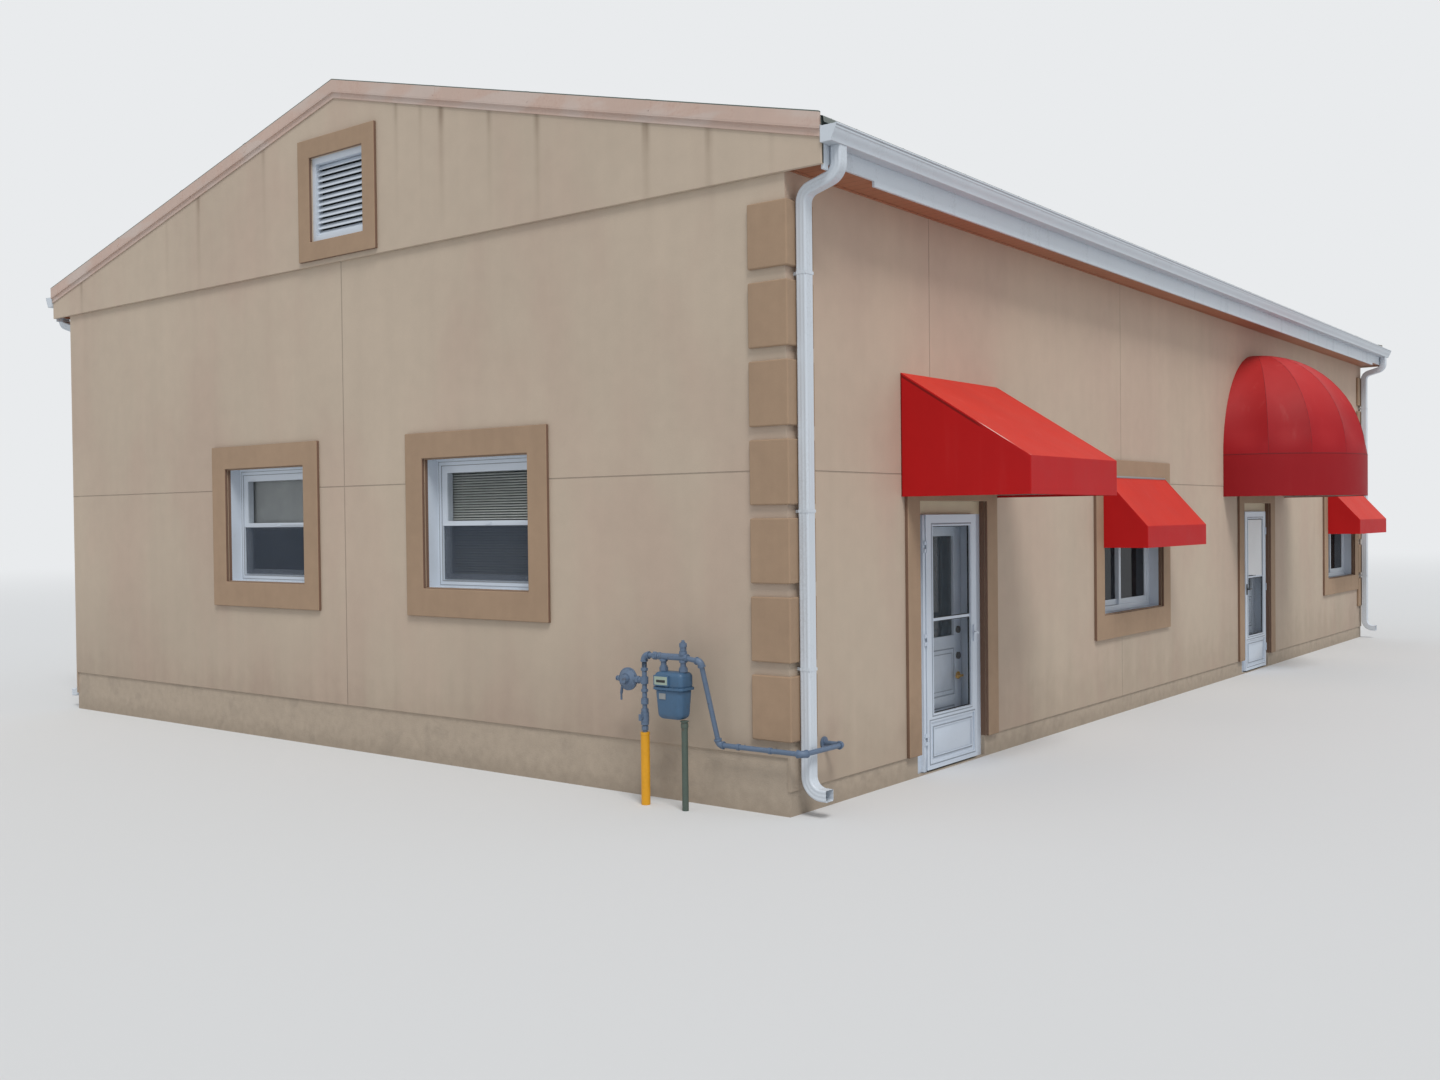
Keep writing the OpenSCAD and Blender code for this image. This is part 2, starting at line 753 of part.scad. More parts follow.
// Storm door hinged at side -1, in the wall's own directions; the leaf's front is at storm_front
module storm_leaf() {
    x0 = -storm_w / 2;
    z1 = storm_front;
    z0 = z1 - storm_t;
    difference() {
        union() {
            translate([x0, leaf_z0, z0]) cube([storm_w, storm_h, storm_t]);
            for (h = hinges_at) translate([x0, h + hinge_len / 3 + hinge_play, z1 - 1])
                cube([26, hinge_len / 3 - 2 * hinge_play, 5]);
        }
        translate([x0 + stile_w, storm_low, z0 - 1])
            cube([storm_w - 2 * stile_w, storm_high - storm_low, storm_t + 2]);
        translate([x0 + 55, 80, z1 - 6]) cube([storm_w - 110, 310, 8]);
    }
    translate([x0 + stile_w, storm_mid - storm_rails[1] / 2, z0 + 8])
        cube([storm_w - 2 * stile_w, storm_rails[1], storm_t - 16]);
    translate([x0 + 85, 110, z1 - 7]) cube([storm_w - 170, 250, 5]);
    leaf_knuckles(storm_axis);
}

module storm_glass() {
    x0 = -storm_w / 2 + stile_w;
    z0 = storm_front - storm_t / 2 - 2;
    half = (storm_high - storm_low - storm_rails[1]) / 2;
    for (v = [storm_low, storm_high - half]) translate([x0, v, z0])
        cube([storm_w - 2 * stile_w, half, 4]);
}

// Push handle with its plate, on the lock stile
module storm_handle() {
    x = storm_w / 2 - 48;
    translate([x - 14, 960, storm_front]) cube([28, 130, 8]);
    translate([x, 1030, storm_front + 7]) cylinder(h = 32, r = 8, $fn = bar_fn);
    translate([x - 75, 1022, storm_front + 32]) cube([84, 16, 12]);
}

// Inner door hinged at side -1: a glazed upper half over raised panels
module inner_leaf() {
    x0 = -clear_w / 2 + hinge_gap;
    z0 = -frame_back - frame_d;
    difference() {
        translate([x0, leaf_z0, z0]) cube([inner_w, inner_h, inner_t]);
        translate([x0 + 120, light_z, z0 - 1]) cube([inner_w - 240, light_h, inner_t + 2]);
        for (p = [[200, 250], [530, 380]]) translate([x0 + 110, p[0], z0 + inner_t - 6])
            cube([inner_w - 220, p[1], 8]);
    }
    for (p = [[200, 250], [530, 380]]) translate([x0 + 150, p[0] + 40, z0 + inner_t - 7])
        cube([inner_w - 300, p[1] - 80, 5]);
    for (h = hinges_at) translate([x0, h + hinge_len / 3 + hinge_play, inner_axis[1] - 4])
        cube([14, hinge_len / 3 - 2 * hinge_play, z0 - inner_axis[1] + 5]);
    leaf_knuckles(inner_axis);
}

module inner_glass() {
    x0 = -clear_w / 2 + hinge_gap;
    translate([x0 + 120, light_z, -frame_back - frame_d + inner_t / 2 - 2])
        cube([inner_w - 240, light_h, 4]);
}

// Lever and two round bolts on the lock side, facing out
module inner_handle() {
    x = -clear_w / 2 + hinge_gap + inner_w - 62;
    z = -frame_back - frame_d + inner_t;
    translate([x, 680, z]) cylinder(h = 10, r = 30, $fn = pipe_fn);
    translate([x, 680, z + 9]) cylinder(h = 38, r = 9, $fn = bar_fn);
    translate([x - 105, 671, z + 36]) cube([114, 18, 12]);
    for (v = [840, 1050]) translate([x, v, z]) cylinder(h = 16, r = 28, $fn = pipe_fn);
}

module at_door_1() {
    at_entrance(door_at[0], 0) children();
}

module at_door_2() {
    at_entrance(door_at[1], 0) mirror([1, 0, 0]) children();
}

module storm_door_1() {
    color([0.84, 0.86, 0.88]) at_door_1() storm_leaf();
}

module storm_glass_1() {
    color([0.25, 0.29, 0.32, 0.5]) at_door_1() storm_glass();
}

module storm_handle_1() {
    color([0.2, 0.2, 0.2]) at_door_1() storm_handle();
}

module inner_door_1() {
    color([0.84, 0.86, 0.88]) at_door_1() inner_leaf();
}

module inner_glass_1() {
    color([0.25, 0.29, 0.32, 0.5]) at_door_1() inner_glass();
}

module inner_handle_1() {
    color([0.70, 0.55, 0.25]) at_door_1() inner_handle();
}

module storm_door_2() {
    color([0.84, 0.86, 0.88]) at_door_2() storm_leaf();
}

module storm_glass_2() {
    color([0.25, 0.29, 0.32, 0.5]) at_door_2() storm_glass();
}

module storm_handle_2() {
    color([0.2, 0.2, 0.2]) at_door_2() storm_handle();
}

module inner_door_2() {
    color([0.84, 0.86, 0.88]) at_door_2() inner_leaf();
}

module inner_glass_2() {
    color([0.25, 0.29, 0.32, 0.5]) at_door_2() inner_glass();
}

module inner_handle_2() {
    color([0.70, 0.55, 0.25]) at_door_2() inner_handle();
}

// Sloped awning with closed ends and a straight front drop, open below and behind
module awning(w, top, front, low, out, back) {
    t = cover_t;
    fall = (top - front) / (out - back);
    tv = t * sqrt(1 + fall * fall);
    translate([-w / 2, 0, 0]) rotate([90, 0, 90]) difference() {
        linear_extrude(height = w)
            polygon([[back, top], [out, front], [out, low], [back, low]]);
        translate([0, 0, t]) linear_extrude(height = w - 2 * t)
            polygon([[back - 1, top - tv + fall], [out - t, front + fall * t - tv],
                [out - t, low - 1], [back - 1, low - 1]]);
    }
}

// Turns an awning's own directions, out then up, into the wall's
module wall_awning(y, w, top, front, low, out, back) {
    translate([hw, y, 0]) rotate([0, 0, 90]) mirror([0, 1, 0])
        awning(w, top, front, low, out, back);
}

module door_awning() {
    color([0.62, 0.10, 0.10])
        wall_awning(door_at[0], dawn_w, dawn_top, dawn_front, dawn_low, dawn_out, 0);
}

module window_awnings() {
    color([0.62, 0.10, 0.10]) for (y = swin_at)
        wall_awning(y, wawn_w, wawn_top, wawn_front, wawn_low, wawn_out, trim_t);
}

// Half turn of the dome's section: a quarter ring over the straight drop of the valance
module dome_awning() {
    color([0.62, 0.10, 0.10]) translate([hw, door_at[1], 0]) rotate([0, 0, -90])
        rotate_extrude(angle = 180, $fn = ball_fn) {
            translate([0, dome_z]) intersection() {
                difference() {
                    circle(r = dome_r, $fn = ball_fn);
                    circle(r = dome_r - cover_t, $fn = ball_fn);
                }
                square([2 * dome_r, 2 * dome_r]);
            }
            translate([dome_r - cover_t, dome_low]) square([cover_t, dome_z - dome_low]);
        }
}

// A round bar from one place to the next
module bar(a, b, r) {
    d = b - a;
    l = norm(d);
    translate(a) rotate([0, acos(d[2] / l), atan2(d[1], d[0])])
        cylinder(h = l, r = r, $fn = pipe_fn);
}

module joint_ball(a, r) {
    translate(a) sphere(r = r, $fn = pipe_fn);
}

module gas_riser() {
    y = gas_y;
    in_x = meter_x + port_in;
    color([0.50, 0.52, 0.52]) {
        bar([riser_x, y, 0], [riser_x, y, over_z], pipe_r);
        bar([riser_x, y, 235], [riser_x, y, 500], pipe_r + 7);
        bar([riser_x, y, 575], [riser_x, y, 655], pipe_r + 10);
        bar([riser_x, y, 615], [riser_x, y - 48, 615], 13);
        bar([riser_x, y, 690], [riser_x, y, 740], pipe_r + 9);
        joint_ball([riser_x, y, over_z], pipe_r + 6);
        bar([riser_x, y, over_z], [in_x, y, over_z], pipe_r);
        joint_ball([in_x, y, over_z], pipe_r + 6);
        bar([in_x, y, over_z], [in_x, y, meter_top], pipe_r);
        bar([riser_x, y, 860], [riser_x - 90, y, 860], pipe_r + 4);
        bar([riser_x - 150, y + 32, 860], [riser_x - 150, y - 32, 860], 80);
        bar([riser_x - 150, y - 30, 860], [riser_x - 150, y - 62, 860], 36);
        bar([riser_x - 215, y, 860], [riser_x - 255, y, 860], 15);
    }
}

// The meter's case: two outlines, one seen from the front and one from the side, cut together
module meter_case(w, d, h) {
    seam = h * 0.62;
    intersection() {
        rotate([90, 0, 0]) translate([0, 0, -d]) linear_extrude(height = d)
            polygon([[0.2 * w, 0], [0.8 * w, 0], [0.95 * w, 0.16 * h], [w, seam],
                [w, 0.82 * h], [0.86 * w, h], [0.14 * w, h], [0, 0.82 * h], [0, seam],
                [0.05 * w, 0.16 * h]]);
        rotate([90, 0, 90]) linear_extrude(height = w)
            polygon([[0.16 * d, 0], [0.84 * d, 0], [d, 0.16 * h], [d, 0.86 * h], [0.8 * d, h],
                [0.2 * d, h], [0, 0.86 * h], [0, 0.16 * h]]);
    }
}

module gas_meter() {
    y = gas_y;
    b = meter_d / 2;
    x0 = meter_x;
    x1 = meter_x + meter_w;
    seam = meter_z + 205;
    color([0.50, 0.54, 0.57]) {
        translate([x0 + 8, y - b + 8, meter_z])
            meter_case(meter_w - 16, meter_d - 16, meter_top - meter_z - 12);
        block([x0, y - b, seam], [x1, y + b, seam + 20]);
        for (x = [x0 + port_in, port_x]) translate([x, y, meter_top - 60])
            cylinder(h = 60, r = port_r, $fn = pipe_fn);
        block([x0 + 40, y - b - 6, seam + 30], [x0 + 140, y - b + 20, seam + 82]);
    }
}

module gas_pipe() {
    y = gas_y;
    out_x = port_x;
    turn_x = port_x + 150;
    wall_y = -hl - outlet_off;
    far_x = hw + corner_off;
    end_y = wall_y + side_run;
    low_x = turn_x + 35;
    color([0.50, 0.52, 0.52]) {
        bar([out_x, y, meter_top], [out_x, y, over_z + 120], pipe_r);
        joint_ball([out_x, y, over_z], pipe_r + 6);
        bar([out_x, y, over_z], [turn_x, y, over_z - 20], pipe_r);
        joint_ball([turn_x, y, over_z - 20], pipe_r + 6);
        bar([turn_x, y, over_z - 20], [low_x, wall_y, outlet_z], pipe_r);
        joint_ball([low_x, wall_y, outlet_z], pipe_r + 6);
        bar([low_x, wall_y, outlet_z], [far_x, wall_y, outlet_z], pipe_r);
        joint_ball([far_x, wall_y, outlet_z], pipe_r + 6);
        bar([far_x, wall_y, outlet_z], [far_x, end_y, outlet_z], pipe_r);
        joint_ball([far_x, end_y, outlet_z], pipe_r + 6);
        bar([far_x, end_y, outlet_z], [hw, end_y, outlet_z], pipe_r);
        bar([hw + 14, end_y, outlet_z], [hw, end_y, outlet_z], 45);
    }
}

module meter_post() {
    x = port_x + 6;
    y = gas_y;
    color([0.33, 0.38, 0.33]) block([x - 29, y - 29, 0], [x + 29, y + 29, meter_z]);
}

foundation();
floor_slab();
front_gable_wall();
rear_gable_wall();
gable_bands();
entrance_wall_near();
entrance_wall_middle();
entrance_wall_far();
door_lintels();
back_wall();
roof_entrance_slope();
roof_back_slope();
drip_edges();
ridge_cap();
rake_trims();
fascias();
soffits();
gutters();
downspouts();
corner_quoins();
gable_surrounds();
side_window_surrounds();
door_surrounds();
gable_window_frames();
side_window_frames();
window_glass();
gable_vents();
door_frames();
storm_door_1();
storm_glass_1();
storm_handle_1();
inner_door_1();
inner_glass_1();
inner_handle_1();
storm_door_2();
storm_glass_2();
storm_handle_2();
inner_door_2();
inner_glass_2();
inner_handle_2();
door_awning();
window_awnings();
dome_awning();
gas_riser();
gas_meter();
gas_pipe();
meter_post();
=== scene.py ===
import json
from math import atan2, cos, hypot, pi, radians, sin, tan

import bmesh
import bpy
from bpy.props import FloatProperty, FloatVectorProperty, IntProperty, PointerProperty
from mathutils import Matrix, Vector

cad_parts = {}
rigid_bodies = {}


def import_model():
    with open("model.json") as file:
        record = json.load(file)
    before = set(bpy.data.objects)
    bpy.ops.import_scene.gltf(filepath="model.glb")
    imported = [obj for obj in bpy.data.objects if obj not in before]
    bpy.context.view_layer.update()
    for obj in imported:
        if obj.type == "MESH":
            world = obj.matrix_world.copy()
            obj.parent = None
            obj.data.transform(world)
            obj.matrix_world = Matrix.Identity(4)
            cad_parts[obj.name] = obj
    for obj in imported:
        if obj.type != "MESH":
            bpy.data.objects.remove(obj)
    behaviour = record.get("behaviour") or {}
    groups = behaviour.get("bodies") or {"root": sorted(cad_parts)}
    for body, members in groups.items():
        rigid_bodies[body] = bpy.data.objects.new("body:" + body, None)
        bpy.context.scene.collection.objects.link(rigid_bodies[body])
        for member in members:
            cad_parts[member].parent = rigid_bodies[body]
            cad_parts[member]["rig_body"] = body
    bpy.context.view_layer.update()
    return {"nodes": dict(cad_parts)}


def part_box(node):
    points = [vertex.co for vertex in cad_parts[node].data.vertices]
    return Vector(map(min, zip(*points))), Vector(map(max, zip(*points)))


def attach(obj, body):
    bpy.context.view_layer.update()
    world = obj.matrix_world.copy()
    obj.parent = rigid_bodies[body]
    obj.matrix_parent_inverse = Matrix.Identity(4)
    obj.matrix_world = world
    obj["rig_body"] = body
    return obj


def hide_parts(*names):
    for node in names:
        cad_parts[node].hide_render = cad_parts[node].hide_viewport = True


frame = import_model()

bl_info = {
    "name": "Corner Shop",
    "version": (1, 0, 0),
    "blender": (4, 5, 0),
    "location": "3D View > Sidebar > Shop",
    "description": "Stucco, sheet metal, windows, doors, awnings and gas set of a corner shop",
    "category": "Object",
}

# Places that the frame gives, in metres
WALL_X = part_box("front_gable_wall")[1].x
GABLE_Y = -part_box("front_gable_wall")[0].y
BAND_Y = -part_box("gable_bands")[0].y
BAND_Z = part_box("gable_bands")[0].z
EAVE_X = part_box("fascias")[1].x
RIDGE_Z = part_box("roof_entrance_slope")[1].z
SLOPE = radians(13.85)
FALL = tan(SLOPE)
SIDES = (1, -1)

# Places along the walls that the part's source gives, in metres
DOOR_Y = (-5.605, 2.340)
SIDE_WINDOW_Y = (-1.790, 6.540)
GABLE_WINDOW_X = (-1.147, 1.682)
JOINT_Z = 2.28
GABLE_JOINT_X = 0.02
SIDE_JOINTS_Y = (-5.94, -2.094)

# Dirt that runs down from the laps of the rake trim: places across the gable, and how strong
DRIPS_RIGHT = ((0.815, 0.5), (1.12, 0.35), (1.37, 1.0), (1.93, 0.7), (2.45, 0.85), (3.52, 1.0), (4.08, 0.85),
               (4.60, 0.2))
DRIPS_LEFT = ((-4.37, 0.6), (-2.69, 0.35), (-2.13, 1.0), (-1.05, 0.5))
RAKE_LAPS = (1.31, 2.375, 3.57)

# The awnings' covers, and the dome's reach, seam and lower edge, in metres
DOOR_AWNING = {"width": 1.560, "top": 3.030, "front": 2.386, "low": 2.115, "out": 1.030}
WINDOW_AWNING = {"width": 1.660, "top": 2.326, "front": 1.853, "low": 1.648, "out": 0.462}
WINDOW_TRIM = 0.030
DOME_RADIUS, DOME_SEAM, DOME_LOW = 1.265, 2.650, 2.160

# Fine patterns: a soffit board's width in metres, and threads as waves in radians for each metre
SOFFIT_BOARD = 0.1016
THREADS = 700
SCREEN_WIRES = 2600


def srgb(red, green, blue):
    """A colour out of 255, as linear light."""
    parts = [c / 255 for c in (red, green, blue)]
    return tuple(c / 12.92 if c <= 0.04045 else ((c + 0.055) / 1.055) ** 2.4 for c in parts)


# Second tones of the finishes
STUCCO_WARM = srgb(199, 174, 155)
STUCCO_PATCH = srgb(190, 165, 150)
PLASTER = srgb(214, 211, 204)
# Trim brown darkened as painted shade, for the returns of openings and the side faces of surrounds
SHADED_REVEAL = srgb(122, 95, 79)
WALL_DIRT = srgb(104, 82, 62)
TRIM_DIRT = srgb(88, 70, 54)
BLOCK_FLAKE = srgb(150, 138, 125)
BLOCK_SPLASH = srgb(104, 92, 78)
METAL_DIRT = (0.10, 0.088, 0.072)
RAKE_RUN = srgb(174, 135, 118)
RAKE_CHALK = srgb(203, 192, 185)
GUTTER_GRIME = srgb(112, 108, 92)
VINYL_DUST = srgb(120, 108, 92)
SHADED_GLASS = srgb(32, 34, 40)
# Pale colour of dust on the canvas, and of a painted highlight along the door awning's near edge
CANVAS_DUST_AND_HIGHLIGHT = srgb(226, 196, 188)
# The dome's faded colour stands for sun bleaching and also for painted sunlight on the upper cloth
DOME_CANVAS, DOME_FADED_AND_SUNLIT = srgb(156, 11, 23), srgb(186, 45, 45)
RUST = srgb(72, 62, 54)
METER_WEAR = srgb(70, 78, 84)
POST_RUST = srgb(96, 66, 48)
BACKDROP = srgb(233, 235, 237)


def colour(name, description, *rgb):
    return FloatVectorProperty(
        name=name, description=description, subtype="COLOR", size=3, min=0, max=1, default=srgb(*rgb)
    )


def length(name, description, default):
    return FloatProperty(
        name=name, description=description, default=default, min=0, unit="LENGTH", precision=4
    )


class ShopWalls(bpy.types.PropertyGroup):
    stucco: colour("Stucco", "Colour of the walls", 195, 179, 161)
    trim: colour("Trim", "Colour of the quoins and surrounds", 165, 139, 115)
    block: colour("Foundation", "Colour of the painted foundation", 181, 166, 149)
    slab: colour("Slab", "Colour of the floor slab", 150, 147, 141)
    soft_edge: length("Soft edge", "Rounding of the edges of the stucco trim", 0.007)


class ShopRoof(bpy.types.PropertyGroup):
    sheet: colour("Sheet", "Colour of the ribbed roof sheet", 96, 104, 100)
    rake: colour("Rake trim", "Colour of the trim along the gable", 199, 174, 161)
    soffit: colour("Soffit", "Colour of the soffit panels", 176, 118, 88)
    # The white metal's cool blue cast is painted shade of the sky
    white: colour("White metal", "Colour of the fascias, gutters and downspouts", 207, 215, 224)
    edge: colour("Sheet edge", "Colour of the roof's edge over the rake trim", 84, 96, 90)
    rib_pitch: length("Rib pitch", "Distance from one rib of the roof to the next", 0.305)
    rib_height: length("Rib height", "Height of the ribs above the sheet", 0.017)
    gutter_lip: length("Gutter lip", "Height of the gutter's upright lip", 0.030)


class ShopOpenings(bpy.types.PropertyGroup):
    # The cool blue cast of these whites is painted shade of the sky
    vinyl: colour("Vinyl", "Colour of the window frames and vents", 209, 218, 229)
    door: colour("Doors", "Colour of the doors and their frames", 205, 216, 230)
    blind: colour("Blinds", "Colour of the blinds behind the gable windows", 238, 241, 236)
    slat_pitch: length("Slat pitch", "Distance from one slat of a blind to the next", 0.021)
    glass: colour("Glass", "Tint of the panes", 60, 70, 78)


class ShopAwnings(bpy.types.PropertyGroup):
    canvas: colour("Canvas", "Colour of the awnings", 186, 11, 16)
    # The faded colour stands for sun bleaching and also for painted sunlight on the faces turned up
    faded_and_sunlit: colour("Faded canvas", "Colour of the canvas where the sun has bleached it", 212, 54, 38)
    sag: length("Sag", "How far the canvas hangs between its tubes", 0.009)
    welt: length("Welt", "Radius of the cord sewn into the seams", 0.004)
    gores: IntProperty(name="Gores", description="Panels of the dome", default=8, min=4, max=16)


class ShopGas(bpy.types.PropertyGroup):
    pipe: colour("Pipe", "Colour of the painted pipes", 96, 115, 140)
    meter: colour("Meter", "Colour of the meter's case", 66, 99, 130)
    sleeve: colour("Sleeve", "Colour of the riser's sleeve", 224, 160, 24)
    post: colour("Post", "Colour of the post under the meter", 78, 92, 84)


class ShopStage(bpy.types.PropertyGroup):
    floor: colour("Floor", "Colour of the floor", 214, 216, 218)
    sun: FloatProperty(name="Sun", description="Strength of the soft key light", default=1.75, min=0)
    sky: FloatProperty(name="Sky", description="Strength of the light from all round", default=0.66, min=0)


GROUPS = {
    "shop_walls": ShopWalls,
    "shop_roof": ShopRoof,
    "shop_openings": ShopOpenings,
    "shop_awnings": ShopAwnings,
    "shop_gas": ShopGas,
    "shop_stage": ShopStage,
}


class Value:
    """A shader socket under Python's arithmetic: each sign adds a Math node."""

    def __init__(self, nodes, socket):
        self.nodes = nodes
        self.socket = socket

    def maths(self, operation, *terms):
        made = self.nodes.node("Math", {"operation": operation}, dict(enumerate(terms)))
        return Value(self.nodes, made.outputs[0])

    def __add__(self, other):
        return self.maths("ADD", self, other)

    def __radd__(self, other):
        return self.maths("ADD", other, self)

    def __sub__(self, other):
        return self.maths("SUBTRACT", self, other)

    def __rsub__(self, other):
        return self.maths("SUBTRACT", other, self)

    def __mul__(self, other):
        return self.maths("MULTIPLY", self, other)

    def __rmul__(self, other):
        return self.maths("MULTIPLY", other, self)

    def __truediv__(self, other):
        return self.maths("DIVIDE", self, other)

    def __mod__(self, other):
        return self.maths("FLOORED_MODULO", self, other)

    def __abs__(self):
        return self.maths("ABSOLUTE", self)

    def sine(self):
        return self.maths("SINE", self)

    def root(self):
        return self.maths("SQRT", self)

    def turn(self, other):
        """The angle whose tangent is this value over the other."""
        return self.maths("ARCTAN2", self, other)

    def most(self, other):
        return self.maths("MAXIMUM", self, other)

    def least(self, other):
        return self.maths("MINIMUM", self, other)

    def rise(self, low, high):
        """From 0 at low to 1 at high, in a soft step; low may be the larger."""
        sockets = {"Value": self, "From Min": low, "From Max": high}
        made = self.nodes.node("MapRange", {"interpolation_type": "SMOOTHSTEP"}, sockets)
        return Value(self.nodes, made.outputs[0])

    def near(self, place, reach):
        """1 at a place, and 0 from a reach away."""
        return abs(self - place).rise(reach, reach * 0.35)


class Nodes:
    """A node tree, and the one way in which nodes come into it."""

    def __init__(self, tree):
        self.tree = tree

    def node(self, kind, settings=None, sockets=None):
        made = self.tree.nodes.new("ShaderNode" + kind)
        for name, value in (settings or {}).items():
            if name == "stops":
                elements = made.color_ramp.elements
                for place, grey in value[1:-1]:
                    elements.new(place)
                for element, (place, grey) in zip(elements, value):
                    element.position = place
                    element.color = (grey, grey, grey, 1)
            else:
                setattr(made, name, value)
        for name, value in (sockets or {}).items():
            self.plug(made.inputs[name], value)
        return made

    def plug(self, target, value):
        if isinstance(value, Value):
            value = value.socket
        if isinstance(value, bpy.types.NodeSocket):
            self.tree.links.new(value, target)
        elif target.type == "RGBA" and len(value) == 3:
            target.default_value = (*value, 1)
        else:
            target.default_value = value


class Paint(Nodes):
    """A material: one Principled shader and the nodes that feed it."""

    def __init__(self, name, **shader):
        self.material = bpy.data.materials.new(name)
        self.material.use_nodes = True
        super().__init__(self.material.node_tree)
        self.shader = self.tree.nodes["Principled BSDF"]
        self.source = "Object"
        self._where = {}
        for socket, value in shader.items():
            self.feed(socket.replace("_", " ").title().replace("Ior", "IOR"), value)

    def feed(self, name, value):
        self.plug(self.shader.inputs[name], value)

    def where(self):
        if self.source not in self._where:
            self._where[self.source] = self.node("TexCoord").outputs[self.source]
        return self._where[self.source]

    def split(self, vector):
        return [Value(self, s) for s in self.node("SeparateXYZ", None, {0: vector}).outputs]

    def axes(self):
        return self.split(self.where())

    def facing(self):
        """The parts of the surface's own direction."""
        return self.split(self.node("NewGeometry").outputs["Normal"])

    def noise(self, scale, detail, stretch=None):
        place = self.where()
        if stretch:
            place = self.node("Mapping", None, {"Vector": place, "Scale": stretch}).outputs[0]
        sockets = {"Vector": place, "Scale": scale, "Detail": detail, "Roughness": 0.5}
        return Value(self, self.node("TexNoise", None, sockets).outputs[0])

    def weather(self):
        """The noises of painted sheet metal: clouds, runs and specks."""
        return self.noise(1.6, 3), self.noise(1.0, 3, (7, 7, 0.6)), self.noise(60, 3)

    def lot(self, steps):
        """A number drawn for each whole step of a value."""
        made = self.node("TexWhiteNoise", {"noise_dimensions": "1D"}, {"W": steps - steps % 1.0})
        return Value(self, made.outputs[0])

    def ramp(self, value, stops):
        made = self.node("ValToRGB", {"stops": stops}, {0: value})
        return Value(self, made.outputs[0])

    def mix(self, factor, first, second, blend="MIX"):
        settings = {"data_type": "RGBA", "blend_type": blend}
        return self.node("Mix", settings, {0: factor, 6: first, 7: second}).outputs[2]

    def shade(self, base, tone):
        """A colour made lighter or darker by a tone round 1."""
        return self.mix(1.0, base, tone, "MULTIPLY")

    def bump(self, height, strength=1.0, distance=0.001):
        sockets = {"Height": height, "Strength": strength, "Distance": distance}
        self.feed("Normal", self.node("Bump", None, sockets).outputs[0])

    def painted(self, base, tone, dirt=None, dirt_colour=None):
        base = self.shade(base, tone)
        if dirt is not None:
            base = self.mix(dirt, base, dirt_colour)
        self.feed("Base Color", base)


def props(part):
    """The settings of one part of the shop."""
    return getattr(bpy.context.scene, "shop_" + part)


def drip_ramp(paint, x, places, low, high):
    """A grey ramp across the gable with a soft peak at each place."""
    span = high - low
    stops = [(0.0, 0.0)]
    for place, strength in places:
        half = (0.030 + 0.020 * strength) / span
        peak = (place - low) / span
        stops += [(peak - half, 0.0), (peak, strength), (peak + half, 0.0)]
    return paint.ramp((x - low) / span, stops + [(1.0, 0.0)])


def grain(paint, coarse, fine):
    """Bump of a sanded finish: trowelled waves under fine grit."""
    paint.bump(coarse * 0.7 + fine * 0.5, 0.8, 0.0016)


def dents(paint, cloud, speck):
    """Bump of sheet metal: slight waves under its specks."""
    paint.bump(cloud * 0.6 + speck * 0.08, 0.35, 0.002)


